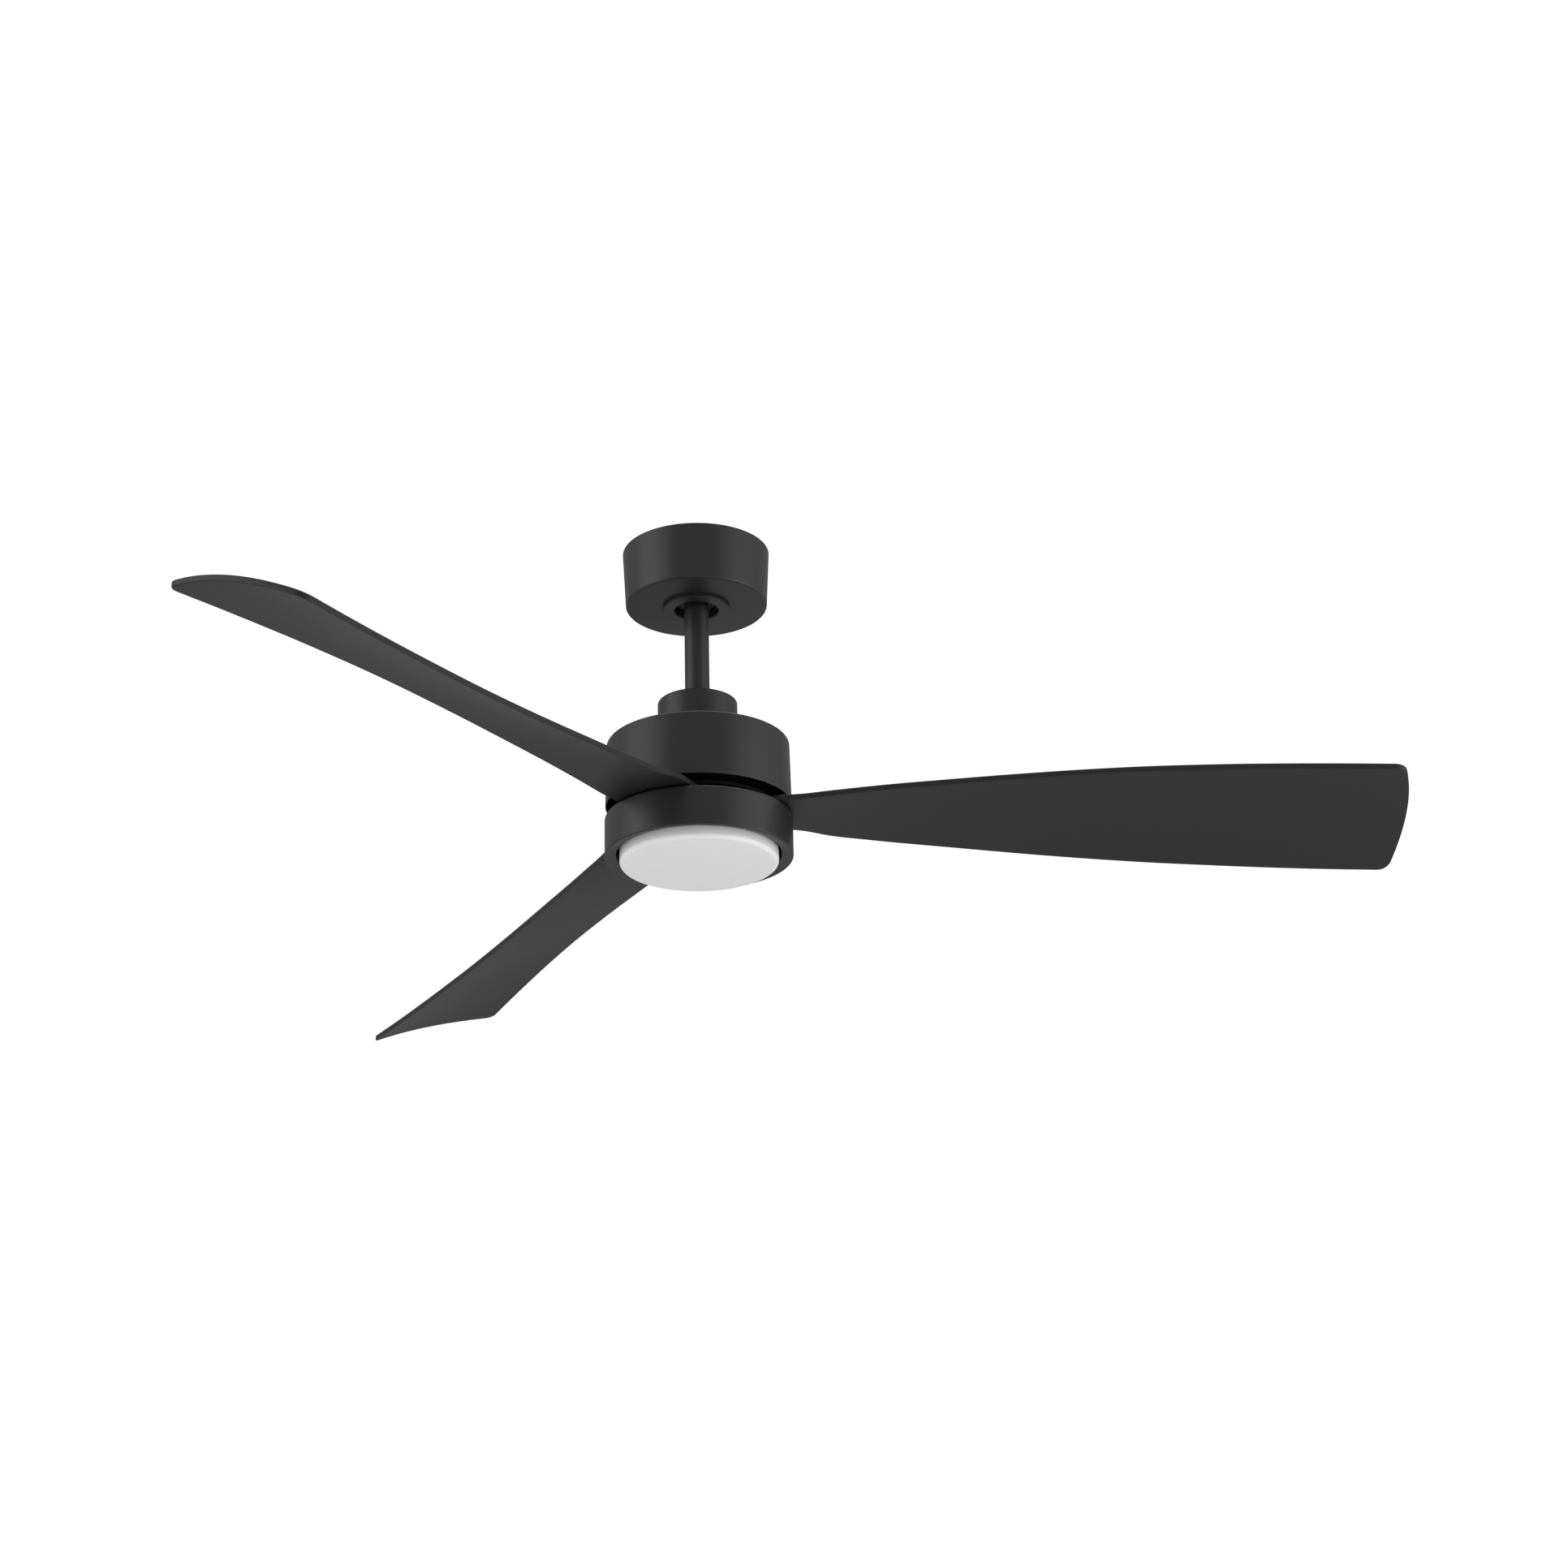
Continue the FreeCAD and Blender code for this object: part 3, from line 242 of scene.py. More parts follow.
def makeMetalMarks():
    # turning or rolling marks: noise stretched along the piece's turning direction gives tone and height
    tree, start, end = nodeGroup(
        "metalMarks",
        [("Colour", "NodeSocketColor", (0.6, 0.6, 0.6, 1)), ("Mark Scale", "NodeSocketFloat", 220.0),
         ("Base Roughness", "NodeSocketFloat", 0.32), ("Tone Spread", "NodeSocketFloat", 0.35)],
        [("Colour", "NodeSocketColor"), ("Roughness", "NodeSocketFloat"), ("Height", "NodeSocketFloat")])
    place = tree.nodes.new("ShaderNodeTexCoord").outputs["Object"]
    squeezed = addNode(tree, "ShaderNodeMapping", Scale=(0.06, 0.06, 1.0))
    tree.links.new(place, squeezed.inputs["Vector"])
    marks = addNode(tree, "ShaderNodeTexNoise", Detail=5.0, Roughness=0.65)
    tree.links.new(squeezed.outputs[0], marks.inputs["Vector"])
    tree.links.new(start.outputs["Mark Scale"], marks.inputs["Scale"])
    clouds = addNode(tree, "ShaderNodeTexNoise", Scale=60.0, Detail=4.0, Roughness=0.6)
    tree.links.new(place, clouds.inputs["Vector"])
    blend = addNode(tree, "ShaderNodeMath", {"operation": "ADD"})
    tree.links.new(marks.outputs["Fac"], blend.inputs[0])
    tree.links.new(clouds.outputs["Fac"], blend.inputs[1])
    tone = addNode(tree, "ShaderNodeMath", {"operation": "MULTIPLY_ADD"})
    centred = addNode(tree, "ShaderNodeMath", {"operation": "SUBTRACT"})
    tree.links.new(blend.outputs[0], centred.inputs[0])
    centred.inputs[1].default_value = 1.0
    tree.links.new(centred.outputs[0], tone.inputs[0])
    tree.links.new(start.outputs["Tone Spread"], tone.inputs[1])
    tone.inputs[2].default_value = 1.0
    scaled = addNode(tree, "ShaderNodeVectorMath", {"operation": "SCALE"})
    tree.links.new(start.outputs["Colour"], scaled.inputs[0])
    tree.links.new(tone.outputs[0], scaled.inputs["Scale"])
    tree.links.new(scaled.outputs[0], end.inputs["Colour"])
    rough = addNode(tree, "ShaderNodeMath", {"operation": "MULTIPLY_ADD"})
    tree.links.new(centred.outputs[0], rough.inputs[0])
    rough.inputs[1].default_value = 0.3
    tree.links.new(start.outputs["Base Roughness"], rough.inputs[2])
    tree.links.new(rough.outputs[0], end.inputs["Roughness"])
    tree.links.new(marks.outputs["Fac"], end.inputs["Height"])
    return tree


fineGrain = makeFineGrain()
settledDust = makeSettledDust()
metalMarks = makeMetalMarks()


def newMaterial(name, **constants):
    material = bpy.data.materials.new(name)
    material.use_nodes = True
    shader = material.node_tree.nodes["Principled BSDF"]
    for socketName, value in constants.items():
        shader.inputs[socketName.replace("_", " ")].default_value = value
    return material, material.node_tree, shader


def useGroup(tree, group, **values):
    node = tree.nodes.new("ShaderNodeGroup")
    node.node_tree = group
    for name, value in values.items():
        node.inputs[name.replace("_", " ")].default_value = value
    return node


def bumpFrom(tree, shader, height, strength, distance):
    bump = addNode(tree, "ShaderNodeBump", Strength=strength, Distance=distance)
    tree.links.new(height, bump.inputs["Height"])
    tree.links.new(bump.outputs["Normal"], shader.inputs["Normal"])


def coatedFinish(name, colour, roughness, grainScale, grainDepth, toneSpread=0.12, roughnessSpread=0.08,
                 dust=0.03, **constants):
    # paint or plastic: fine grain under a thin veil of dust
    material, tree, shader = newMaterial(name, **constants)
    grain = useGroup(tree, fineGrain, Grain_Scale=grainScale, Base_Roughness=roughness,
                     Roughness_Spread=roughnessSpread, Colour=(*colour, 1), Tone_Spread=toneSpread)
    veil = useGroup(tree, settledDust, Amount=dust)
    tree.links.new(grain.outputs["Colour"], veil.inputs["Colour"])
    tree.links.new(veil.outputs["Colour"], shader.inputs["Base Color"])
    tree.links.new(grain.outputs["Roughness"], shader.inputs["Roughness"])
    bumpFrom(tree, shader, grain.outputs["Height"], 0.35, grainDepth)
    return material


def metalFinish(name, colour, roughness, markScale=220.0, toneSpread=0.3, depth=0.00004):
    # bare metal with turning or rolling marks
    material, tree, shader = newMaterial(name, Metallic=1.0)
    marks = useGroup(tree, metalMarks, Colour=(*colour, 1), Mark_Scale=markScale,
                     Base_Roughness=roughness, Tone_Spread=toneSpread)
    tree.links.new(marks.outputs["Colour"], shader.inputs["Base Color"])
    tree.links.new(marks.outputs["Roughness"], shader.inputs["Roughness"])
    bumpFrom(tree, shader, marks.outputs["Height"], 0.3, depth)
    return material


# one finish for each material slot: colour, roughness and how fine the grain or marks are (larger is finer),
# then for coats the grain's depth, and for metals the spread of tone and the depth
finishes = {
    "black_paint": coatedFinish("satinBlackPaint", (0.013, 0.013, 0.0135), 0.46, 1400.0, 0.00003),
    "blade_plastic": coatedFinish("mattBladePlastic", (0.0118, 0.0118, 0.0122), 0.5, 2200.0, 0.00003,
                                  roughnessSpread=0.06, Specular_IOR_Level=0.38),
    "black_steel": coatedFinish("blackOxideSteel", (0.02, 0.02, 0.021), 0.38, 1800.0, 0.00002),
    "module_plastic": coatedFinish("mouldedCase", (0.045, 0.045, 0.05), 0.55, 1600.0, 0.00004),
    "connector_plastic": coatedFinish("orangeConnector", (0.72, 0.3, 0.05), 0.4, 900.0, 0.00004),
    "nylon": coatedFinish("blackNylon", (0.011, 0.011, 0.012), 0.5, 700.0, 0.00003),
    "board_white": coatedFinish("whiteBoard", (0.82, 0.82, 0.8), 0.4, 1200.0, 0.00001, toneSpread=0.04,
                                dust=0.0),
    "magnet": coatedFinish("ferriteMagnet", (0.06, 0.06, 0.062), 0.6, 1500.0, 0.00004),
    "wire_insulation": coatedFinish("wireInsulation", (0.03, 0.03, 0.03), 0.45, 800.0, 0.00002),
    "zinc_steel": metalFinish("zincPlatedSteel", (0.6, 0.6, 0.6), 0.36),
    "machined_steel": metalFinish("machinedSteel", (0.55, 0.55, 0.56), 0.24, 500.0),
    # painted shade: the motor parts' black coat is made darker still and nearly without gloss so that the gap
    # between housing and light ring reads as black shadow
    "motor_black": coatedFinish("motorBlackWithPaintedGapShade", (0.004, 0.004, 0.0042), 0.75, 1500.0, 0.00003, dust=0.0,
                                Specular_IOR_Level=0.12),
    "tray_aluminium": metalFinish("pressedAluminium", (0.72, 0.72, 0.72), 0.4, 160.0, 0.15),
    "lamination": metalFinish("stackedLaminations", (0.3, 0.3, 0.31), 0.4, 1600.0, 0.6, 0.0001),
    "copper_wire": metalFinish("copperWinding", (0.72, 0.28, 0.12), 0.32, 1500.0, 0.5, 0.0001),
    "brass": metalFinish("brassScrew", (0.72, 0.5, 0.2), 0.28),
}


def makeLensFinish():
    # opal plastic: milky, lightly see-through, with a smooth skin
    material, tree, shader = newMaterial("opalLens", Subsurface_Weight=0.35, Subsurface_Scale=0.004,
                                         IOR=1.46, Specular_IOR_Level=0.4)
    shader.inputs["Subsurface Radius"].default_value = (1.0, 0.95, 0.9)
    grain = useGroup(tree, fineGrain, Grain_Scale=260.0, Base_Roughness=0.3, Roughness_Spread=0.04,
                     Colour=(0.955, 0.955, 0.945, 1), Tone_Spread=0.02)
    tree.links.new(grain.outputs["Colour"], shader.inputs["Base Color"])
    tree.links.new(grain.outputs["Roughness"], shader.inputs["Roughness"])
    bumpFrom(tree, shader, grain.outputs["Height"], 0.1, 0.00002)
    return material


def makeChipFinish():
    # the phosphor squares of the light source, slightly domed in tone
    material, tree, shader = newMaterial("phosphorChip", Roughness=0.25)
    place = tree.nodes.new("ShaderNodeTexCoord").outputs["Object"]
    noise = addNode(tree, "ShaderNodeTexNoise", Scale=600.0, Detail=2.0)
    tree.links.new(place, noise.inputs["Vector"])
    amber, pale = (0.85, 0.6, 0.12, 1), (0.9, 0.74, 0.28, 1)
    tree.links.new(mixColours(tree, noise.outputs["Fac"], amber, pale), shader.inputs["Base Color"])
    return material


finishes["lens_opal"] = makeLensFinish()
finishes["led_yellow"] = makeChipFinish()

for part in frame["record"]["subparts"]:
    slots = frame["nodes"][part["node"]].data.materials
    if len(slots) == 0:
        slots.append(None)
    for index in range(len(slots)):
        slots[index] = finishes[part["material_slot"]]
print("materials made")


# sizes are in metres; outer sizes and levels come from the CAD node's own box
hairEdge = 0.0002        # the slight rounding of turned edges
sheetEdge = 0.0003       # the same on cut sheet

canopySizes = {"footDraft": 0.0031, "wall": 0.0012, "holeRadius": 0.024, "footRound": 0.0022,
               "rimRound": 0.0004, "arcSteps": 10}


def makeCanopy():
    low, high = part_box("canopy")
    s = canopySizes
    rim, foot = high.x, high.x - s["footDraft"]
    wall, hole = s["wall"], s["holeRadius"]
    loop = roundedLoop([
        (hole, low.z, sheetEdge), (foot, low.z, s["footRound"]), (rim, high.z, s["rimRound"]),
        (rim - wall, high.z, s["rimRound"]), (foot - wall, low.z + wall, s["footRound"] - wall),
        (hole, low.z + wall, sheetEdge)], s["arcSteps"])
    finishPiece(latheMesh("canopyShell", loop), finishes["black_paint"], "black_paint", "ceiling", "canopy")


coverSizes = {"holeRadius": 0.0228, "bottomRound": 0.0011, "grooveIn": 0.0251, "grooveOut": 0.0325,
              "groove": 0.0026, "arcSteps": 6, "segments": 144}


def makeCanopyCover():
    # the ring's upper side has a groove that hides the canopy's screw heads
    low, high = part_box("canopy_screw_cover")
    s = coverSizes
    edge, hole, grooveLevel = s["bottomRound"], s["holeRadius"], high.z - s["groove"]
    loop = roundedLoop([
        (hole, low.z, edge), (high.x, low.z, edge), (high.x, high.z, hairEdge),
        (s["grooveOut"], high.z, hairEdge), (s["grooveOut"], grooveLevel, sheetEdge),
        (s["grooveIn"], grooveLevel, sheetEdge), (s["grooveIn"], high.z, hairEdge),
        (hole, high.z, hairEdge)], s["arcSteps"])
    finishPiece(latheMesh("screwCoverRing", loop, s["segments"]), finishes["black_paint"], "black_paint",
                "ceiling", "canopy_screw_cover")


rodSizes = {"wall": 0.002, "endRound": 0.0006, "arcSteps": 4, "segments": 96}


def makeRod():
    low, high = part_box("downrod")
    s = rodSizes
    bore, edge = high.x - s["wall"], s["endRound"]
    loop = roundedLoop([(bore, low.z, edge), (high.x, low.z, edge), (high.x, high.z, edge),
                        (bore, high.z, edge)], s["arcSteps"])
    finishPiece(latheMesh("hangingRod", loop, s["segments"]), finishes["black_paint"], "black_paint",
                "hanger", "downrod")


shadeSizes = {"holeRadius": 0.0132, "wall": 0.0015, "topRound": 0.0025, "footRound": 0.0005,
              "holeRound": 0.0005, "arcSteps": 8, "segments": 160}


def makeShade():
    low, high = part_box("coupling_cover")
    s = shadeSizes
    side, wall, hole = high.x, s["wall"], s["holeRadius"]
    loop = roundedLoop([
        (side - wall, low.z, s["footRound"]), (side, low.z, s["footRound"]), (side, high.z, s["topRound"]),
        (hole, high.z, s["holeRound"]), (hole, high.z - wall, sheetEdge),
        (side - wall, high.z - wall, s["topRound"] - wall)], s["arcSteps"])
    finishPiece(latheMesh("couplingShade", loop, s["segments"]), finishes["black_paint"], "black_paint",
                "hanger", "coupling_cover")


housingSizes = {"holeRadius": 0.00755, "topDraft": 0.0012, "wall": 0.0015, "topRound": 0.0025,
                "lipRound": 0.0006, "arcSteps": 8}


def makeHousing():
    low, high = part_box("motor_housing")
    s = housingSizes
    wall, hole, shoulder = s["wall"], s["holeRadius"], high.x - s["topDraft"]
    loop = roundedLoop([
        (high.x - wall, low.z, s["lipRound"]), (high.x, low.z, s["lipRound"]),
        (shoulder, high.z, s["topRound"]), (hole, high.z, hairEdge), (hole, high.z - wall, hairEdge),
        (shoulder - wall, high.z - wall, s["topRound"] - wall)], s["arcSteps"])
    finishPiece(latheMesh("motorDrum", loop), finishes["black_paint"], "black_paint", "hanger",
                "motor_housing")


ringSizes = {"holeRadius": 0.013, "wall": 0.0015, "opening": 0.0835, "lip": 0.0205, "dish": 0.0034,
             "topRound": 0.0024, "footRound": 0.0016, "openingRound": 0.0007, "innerTopRound": 0.001,
             "dishRound": 0.0005, "lipRound": 0.0004, "arcSteps": 8}


def makeLightRing():
    # a drum whose underside is dished, with a lip standing up round the lens
    low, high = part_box("light_ring")
    s = ringSizes
    wall, side, opening = s["wall"], high.x, s["opening"]
    dishLevel, lipLevel = low.z + s["dish"], low.z + s["lip"]
    loop = roundedLoop([
        (s["holeRadius"], high.z, sheetEdge), (s["holeRadius"], high.z - wall, sheetEdge),
        (side - wall, high.z - wall, s["innerTopRound"]), (side - wall, low.z + 2 * wall, s["lipRound"]),
        (opening + wall, dishLevel + wall, s["dishRound"]), (opening + wall, lipLevel, s["lipRound"]),
        (opening, lipLevel, s["lipRound"]), (opening, dishLevel, s["openingRound"]),
        (side, low.z, s["footRound"]), (side, high.z, s["topRound"])], s["arcSteps"])
    finishPiece(latheMesh("lightRingDrum", loop), finishes["black_paint"], "black_paint", "hanger",
                "light_ring")


lensSizes = {"wall": 0.0025, "dome": 0.0016, "shoulder": 0.0045, "rimRound": 0.0008, "lugReach": 0.0046,
             "lugs": 3, "lugThick": 0.0024, "lugAngle": 20.0, "lugDrop": 0.0032, "lugSink": 0.0005,
             "lugRound": 0.0006, "lugArcSteps": 4, "facePoints": 24, "outerSteps": 12, "innerSteps": 8,
             "sidePoints": 6, "rimPoints": 9}


def makeLens():
    # a shallow cup: the face is an arc of a large circle, turned down into the side by a round shoulder
    low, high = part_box("lens")
    s = lensSizes
    radius = high.x
    faceCurve = (radius ** 2 + s["dome"] ** 2) / (2 * s["dome"])

    def face(r, lift):
        return low.z + lift + faceCurve - np.sqrt(faceCurve ** 2 - r ** 2)

    def skin(side, lift, shoulder, steps):
        reach = np.linspace(0, side - shoulder, s["facePoints"])
        flat = np.stack([reach, face(reach, lift)], -1)
        angle = np.linspace(0, math.pi / 2, steps + 1)[1:]
        startLevel = flat[-1, 1]
        bend = np.stack([side - shoulder + shoulder * np.sin(angle),
                         startLevel + shoulder * (1 - np.cos(angle))], -1)
        return np.vstack([flat, bend])

    outer = skin(radius, 0.0, s["shoulder"], s["outerSteps"])
    inner = skin(radius - s["wall"], s["wall"], s["shoulder"] - s["wall"], s["innerSteps"])
    rimLevels = np.linspace(outer[-1, 1], high.z - s["rimRound"], s["sidePoints"])[1:]
    outerSide = np.stack([np.full(len(rimLevels), radius), rimLevels], -1)
    angle = np.linspace(0, math.pi, s["rimPoints"])
    half = s["wall"] / 2
    rim = np.stack([radius - half + half * np.cos(angle),
                    high.z - half + half * np.sin(angle)], -1)
    innerSide = np.stack([np.full(len(rimLevels) - 1, radius - s["wall"]), rimLevels[::-1][1:]], -1)
    profile = np.vstack([outer, outerSide[:-1], rim, innerSide, inner[::-1]])
    cup = latheMesh("lensCup", profile, closed=False)
    finishPiece(cup, finishes["lens_opal"], "lens_opal", "lens", "lens")
    makeLugs(radius - s["wall"], high.z)


def makeLugs(wallRadius, rimLevel):
    # short arc bars inside the lens: a rounded section swept through a few degrees
    s = lensSizes
    top = rimLevel - s["lugDrop"]
    foot = top - s["lugThick"]
    inner, outer = wallRadius - s["lugReach"], wallRadius + s["lugSink"]
    section = roundedLoop([(inner, foot, s["lugRound"]), (outer, foot, hairEdge), (outer, top, hairEdge),
                           (inner, top, s["lugRound"])], s["lugArcSteps"])
    middle = section.mean(0)
    # how large the section is, and how far round it sits, from one closed end to the other
    shrink = np.array([0.0, 0.9, 1.0, 1.0, 1.0, 1.0, 1.0, 1.0, 0.9, 0.0])[:, None, None]
    share = np.array([0, 0, 0.04, 0.2, 0.4, 0.6, 0.8, 0.96, 1, 1])
    rings = middle + (section[None] - middle) * shrink
    for index in range(s["lugs"]):
        start = math.radians(360 / s["lugs"] * index - s["lugAngle"] / 2)
        angle = (start + share * math.radians(s["lugAngle"]))[:, None]
        radius, level = rings[..., 0], rings[..., 1]
        points = np.stack([radius * np.cos(angle), radius * np.sin(angle), level], -1)
        lug = faceOutwards(gridMesh("lensLug%d" % (index + 1), points, wrapColumns=True))
        lug.data.materials.append(finishes["lens_opal"])
        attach(lug, "lens")


bladeSizes = {"count": 3, "rootRadius": 0.038, "rootChord": 0.0757, "widening": 0.11, "tipBow": 0.0108,
              "cornerRadius": 0.013, "flatRadius": 0.095, "thickness": 0.0062, "drop": 0.0261,
              "camber": 0.0075, "edgeRound": 0.0014, "clearAboveRing": 0.0014, "spineFromRoot": 0.03,
              "spineFromTip": 0.055, "rootPoints": 14, "edgePoints": 150, "cornerPoints": 18,
              "tipPoints": 36, "bendPoints": 6}
# share of the way from the flat root to the tip, pitch in degrees, share of the droop
bladeStations = np.array([(-1, 0, 0), (-0.25, 0, 0), (-0.05, 0, 0), (0, 0, 0), (0.008, 0.35, 0.007),
                          (0.02, 1.2, 0.024), (0.055, 5.1, 0.083), (0.13, 10.2, 0.144),
                          (0.27, 16.0, 0.259), (0.41, 19.9, 0.385), (0.55, 21.8, 0.514),
                          (0.695, 21.7, 0.66), (0.85, 20.3, 0.831), (1.01, 17.8, 1)])


def smoothThrough(x, knots, values):
    # a cubic between knots whose slope at each knot is the mean of the slopes beside it
    slopes = np.gradient(values, knots)
    place = np.clip(np.searchsorted(knots, x, "right") - 1, 0, len(knots) - 2)
    width = knots[place + 1] - knots[place]
    u = (x - knots[place]) / width
    return (values[place] * (1 + 2 * u) * (1 - u) ** 2 + slopes[place] * width * u * (1 - u) ** 2
            + values[place + 1] * u ** 2 * (3 - 2 * u) + slopes[place + 1] * width * u ** 2 * (u - 1))


def bladeUnderside(x, y, tip, level):
    # height of the underside: root level less the droop and a slope across for the pitch, plus the camber's
    # bow, which is widest in the middle of the chord
    s = bladeSizes
    share = (x - s["flatRadius"]) / (tip - s["flatRadius"])
    pitch = smoothThrough(share, bladeStations[:, 0], bladeStations[:, 1])
    droop = smoothThrough(share, bladeStations[:, 0], bladeStations[:, 2])
    half = (s["rootChord"] + s["widening"] * x) / 2
    bow = s["camber"] * np.clip(share, 0, None) * (1 - (y / half) ** 2)
    return level - s["drop"] * droop - np.tan(np.radians(pitch)) * y + bow


def bladePlan(tip):
    # half of the blade's outline seen from above, from the middle of the root round to the middle of the tip
    s = bladeSizes
    corner = tip - s["tipBow"]
    halfRoot = (s["rootChord"] + s["widening"] * s["rootRadius"]) / 2
    halfTip = (s["rootChord"] + s["widening"] * corner) / 2
    tipCurve = (halfTip ** 2 + s["tipBow"] ** 2) / (2 * s["tipBow"])
    edgeSlope = s["widening"] / 2
    tipCentre = tip - tipCurve
    # the corner arc touches the straight edge and the tip arc from inside, so its centre lies r below the
    # edge line and tipCurve - r from the tip arc's centre; halving finds where along the blade that is
    r = s["cornerRadius"]
    lean = math.atan(edgeSlope)

    def centreHeight(x):
        return halfRoot + edgeSlope * (x - s["rootRadius"]) - r / math.cos(lean)

    low, high = tip - 0.1, tip
    for halving in range(60):
        middle = (low + high) / 2
        if (middle - tipCentre) ** 2 + centreHeight(middle) ** 2 < (tipCurve - r) ** 2:
            low = middle
        else:
            high = middle
    cx = (low + high) / 2
    cy = centreHeight(cx)
    startAngle = math.pi / 2 + lean
    endAngle = math.atan2(cy, cx - tipCentre)
    across = np.linspace(0, halfRoot, s["rootPoints"])
    rootSide = np.stack([np.full_like(across, s["rootRadius"]), across], -1)
    edgeEnd = np.array([cx + r * math.cos(startAngle), cy + r * math.sin(startAngle)])
    edge = np.linspace([s["rootRadius"], halfRoot], edgeEnd, s["edgePoints"])[1:]
    angle = np.linspace(startAngle, endAngle, s["cornerPoints"])[1:]
    cornerArc = np.stack([cx + r * np.cos(angle), cy + r * np.sin(angle)], -1)
    angle = np.linspace(endAngle, 0, s["tipPoints"])[1:]
    tipArc = np.stack([tipCentre + tipCurve * np.cos(angle), tipCurve * np.sin(angle)], -1)
    return np.vstack([rootSide, edge, cornerArc, tipArc])


def bladeMesh(name, tip, level, turn):
    # rings that follow the outline: up from the spine on the underside, round the edge and back on top
    s = bladeSizes
    half = bladePlan(tip)
    outline = np.vstack([half, (half * [1, -1])[-2:0:-1]])
    along = np.roll(outline, -1, 0) - np.roll(outline, 1, 0)
    inward = np.stack([-along[:, 1], along[:, 0]], -1)
    inward /= np.hypot(inward[:, 0], inward[:, 1])[:, None]
    middle = np.array([(s["rootRadius"] + tip) / 2, 0])
    inward *= np.sign(np.einsum("ij,ij->i", inward, middle - outline)).reshape(-1, 1)
    spineStart, spineEnd = s["rootRadius"] + s["spineFromRoot"], tip - s["spineFromTip"]
    spine = np.stack([np.clip(outline[:, 0], spineStart, spineEnd), 0 * outline[:, 0]], -1)
    r = s["edgeRound"]
    inner = outline + inward * r
    # shares of the way from the spine to the edge, closer together towards the edge
    share = np.array([0, 0.12, 0.25, 0.38, 0.5, 0.62, 0.73, 0.83, 0.91, 0.97])[:, None, None]
    flat = spine + (inner - spine) * share
    angle = np.linspace(0, math.pi / 2, s["bendPoints"])[:, None, None]
    bend = outline + inward * (r - r * np.sin(angle))
    plan = np.concatenate([flat, bend, bend[::-1], flat[::-1]])
    thick = s["thickness"]
    liftFlat = np.zeros(len(flat))
    liftBend = r - r * np.cos(angle[:, 0, 0])
    lift = np.concatenate([liftFlat, liftBend, thick - liftBend[::-1], np.full(len(flat), thick)])
    x, y = plan[..., 0], plan[..., 1]
    z = bladeUnderside(x, y, tip, level) + lift[:, None]
    c, d = math.cos(turn), math.sin(turn)
    points = np.stack([c * x - d * y, d * x + c * y, z], -1)
    return faceOutwards(gridMesh(name, points, wrapColumns=True))


def makeBlades():
    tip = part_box("blade_1")[1].x
    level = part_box("light_ring")[1].z + bladeSizes["clearAboveRing"]
    for index in range(bladeSizes["count"]):
        turn = math.radians(360 / bladeSizes["count"] * index)
        blade = bladeMesh("fanBlade%d" % (index + 1), tip, level, turn)
        finishPiece(blade, finishes["blade_plastic"], "blade_plastic", "rotor", "blade_%d" % (index + 1))


makeCanopy()
makeCanopyCover()
makeRod()
makeShade()
makeHousing()
makeLightRing()
makeLens()
makeBlades()
print("visible pieces made")


# the setting: levels and sizes in metres, powers in watts, the spread of the lamps in degrees
studio = {"floorLevel": -2.3, "floorSize": 160.0, "floorGlow": 0.45, "surroundings": 0.41, "backdrop": 1.05,
          "lampSpread": 150.0}
lamps = [
    {"name": "leftSoftbox", "at": (-3.8, -1.5, 0.3), "aim": (0, 0, -0.25), "size": (3.6, 4.2), "power": 55},
    {"name": "rightSoftbox", "at": (3.8, -1.1, -0.55), "aim": (0, 0, -0.25), "size": (3.6, 3.4), "power": 63},
    {"name": "overhead", "at": (0.2, 0.5, 3.2), "aim": (0, 0, -0.25), "size": (3.0, 3.0), "power": 60},
]


def turnTowards(start, aim, roll=0.0):
    # place and turn that look from start to aim, rolled by some degrees
    direction = Vector(aim) - Vector(start)
    turn = direction.to_track_quat("-Z", "Y").to_matrix() @ Matrix.Rotation(math.radians(roll), 3, "Z")
    return Matrix.Translation(Vector(start)) @ turn.to_4x4()


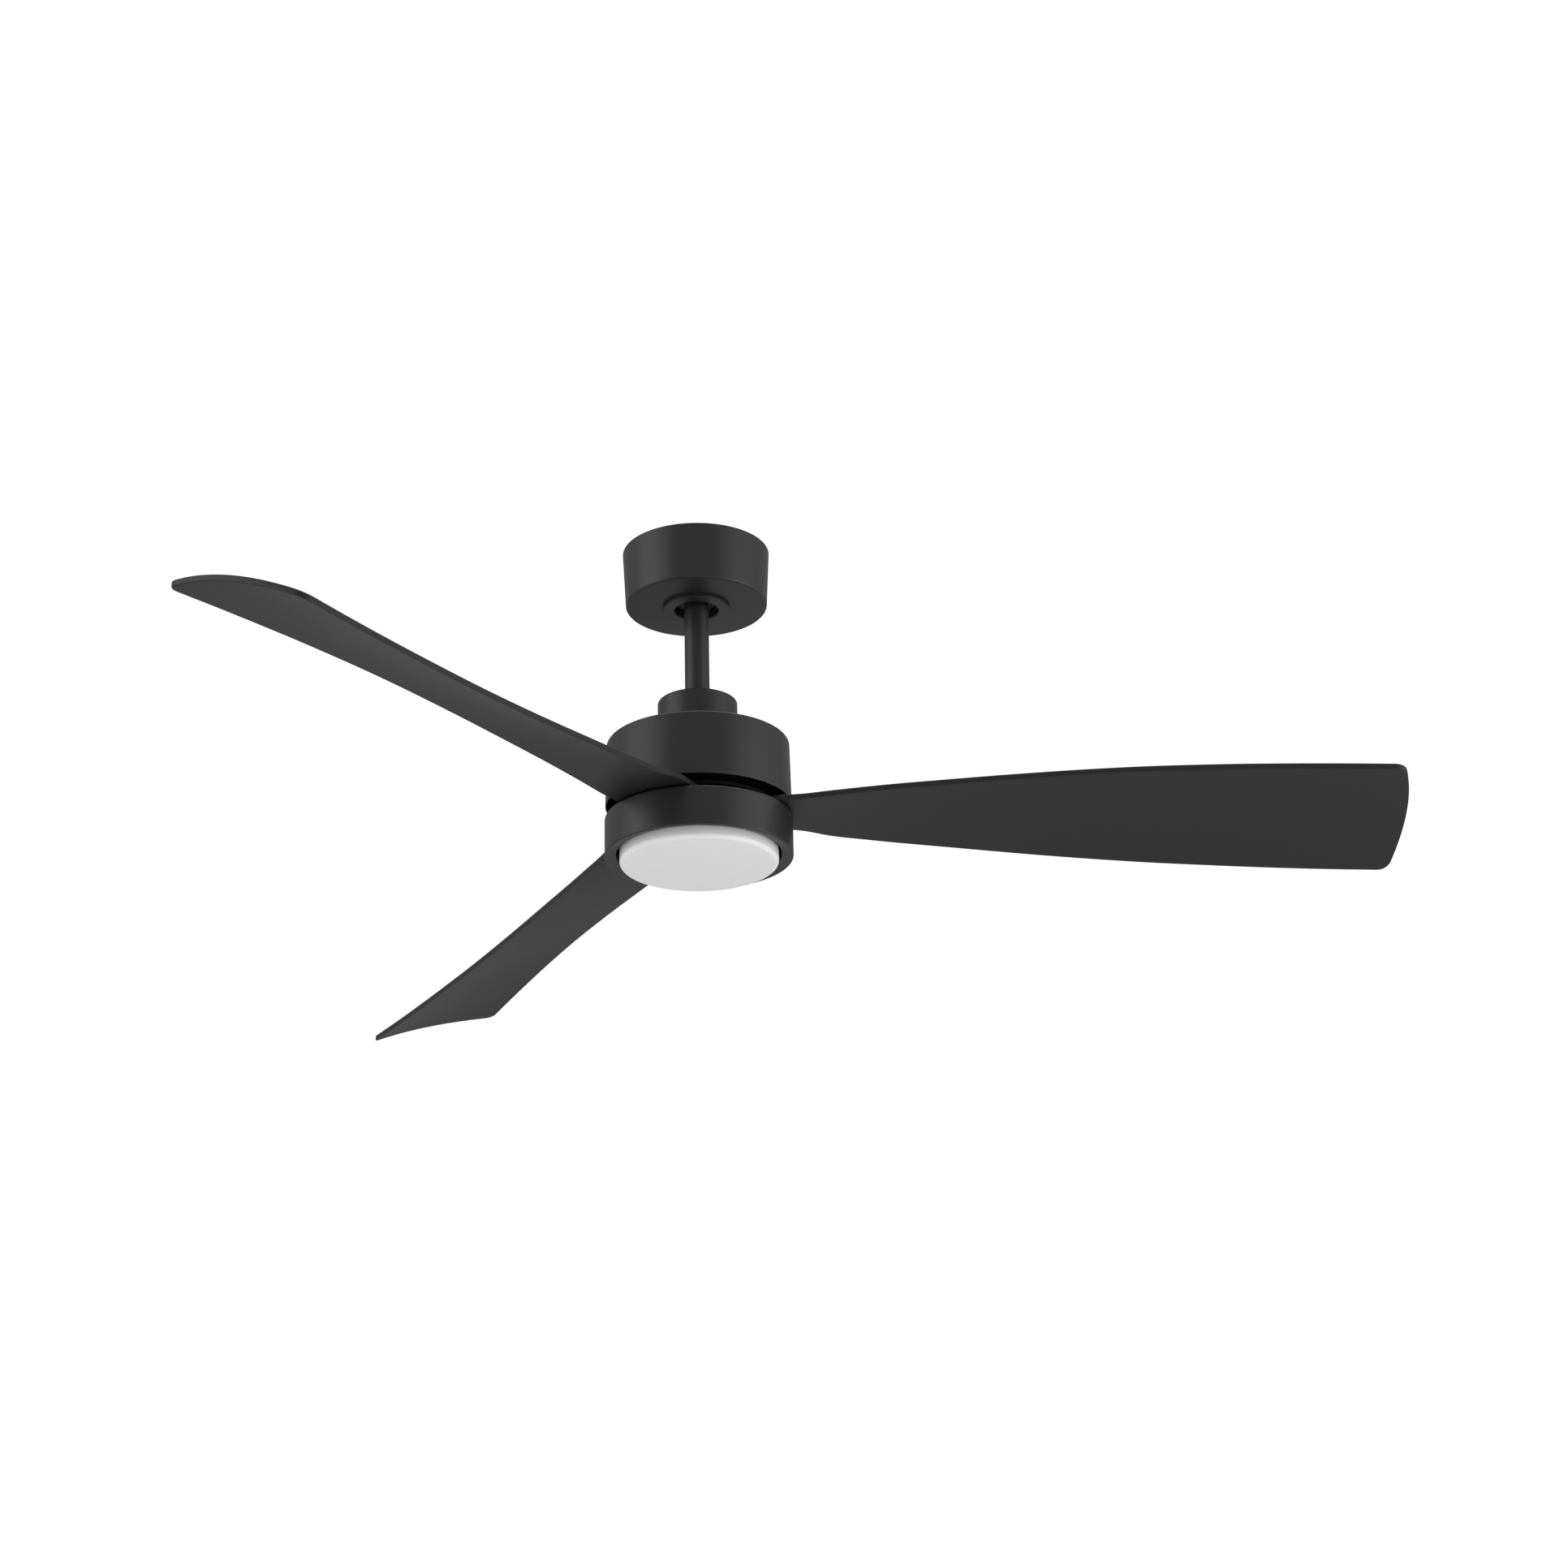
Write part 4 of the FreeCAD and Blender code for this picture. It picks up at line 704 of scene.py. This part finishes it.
def makeFloor():
    half = studio["floorSize"] / 2
    u, v = np.meshgrid(np.linspace(-half, half, 9), np.linspace(-half, half, 9), indexing="ij")
    floor = gridMesh("studioFloor", np.stack([u, v, np.full_like(u, studio["floorLevel"])], -1))
    material, tree, shader = newMaterial("paleFloor", Roughness=0.7)
    shader.inputs["Base Color"].default_value = (0.86, 0.86, 0.86, 1)
    # a faint glow that only shows to the eye lifts the floor to the backdrop's paleness and casts no light
    shader.inputs["Emission Color"].default_value = (1, 1, 1, 1)
    seen = tree.nodes.new("ShaderNodeLightPath").outputs["Is Camera Ray"]
    glow = rangeMap(tree, seen, 0.0, 1.0, 0.0, studio["floorGlow"])
    tree.links.new(glow, shader.inputs["Emission Strength"])
    floor.data.materials.append(material)


def makeLight():
    for lamp in lamps:
        data = bpy.data.lights.new(lamp["name"], "AREA")
        data.shape = "RECTANGLE"
        data.size, data.size_y = lamp["size"]
        data.energy = lamp["power"]
        data.spread = math.radians(studio["lampSpread"])
        item = bpy.data.objects.new(lamp["name"], data)
        item.matrix_world = turnTowards(lamp["at"], lamp["aim"])
        bpy.context.scene.collection.objects.link(item)
    world = bpy.data.worlds.new("studioWorld")
    world.use_nodes = True
    bpy.context.scene.world = world
    tree = world.node_tree
    background = tree.nodes["Background"]
    background.inputs["Color"].default_value = (1, 1, 1, 1)
    # seen directly the surroundings are a white backdrop; as light they are softer
    path = tree.nodes.new("ShaderNodeLightPath")
    strength = rangeMap(tree, path.outputs["Is Camera Ray"], 0.0, 1.0, studio["surroundings"],
                        studio["backdrop"])
    tree.links.new(strength, background.inputs["Strength"])


cameraSetup = {"position": (0.14371, -2.86736, -1.41044), "aim": (0.08683, 0.00172, -0.25966),
               "roll": -1.289, "lens": 69.97, "sensor": 36.0, "seesUpTo": 100.0}


def makeCamera():
    data = bpy.data.cameras.new("viewCamera")
    data.lens = cameraSetup["lens"]
    data.sensor_width = cameraSetup["sensor"]
    data.clip_end = cameraSetup["seesUpTo"]
    camera = bpy.data.objects.new("viewCamera", data)
    camera.matrix_world = turnTowards(cameraSetup["position"], cameraSetup["aim"], cameraSetup["roll"])
    bpy.context.scene.collection.objects.link(camera)
    bpy.context.scene.camera = camera


makeFloor()
makeLight()
makeCamera()
bpy.context.scene.view_settings.view_transform = "Standard"
print("studio made")
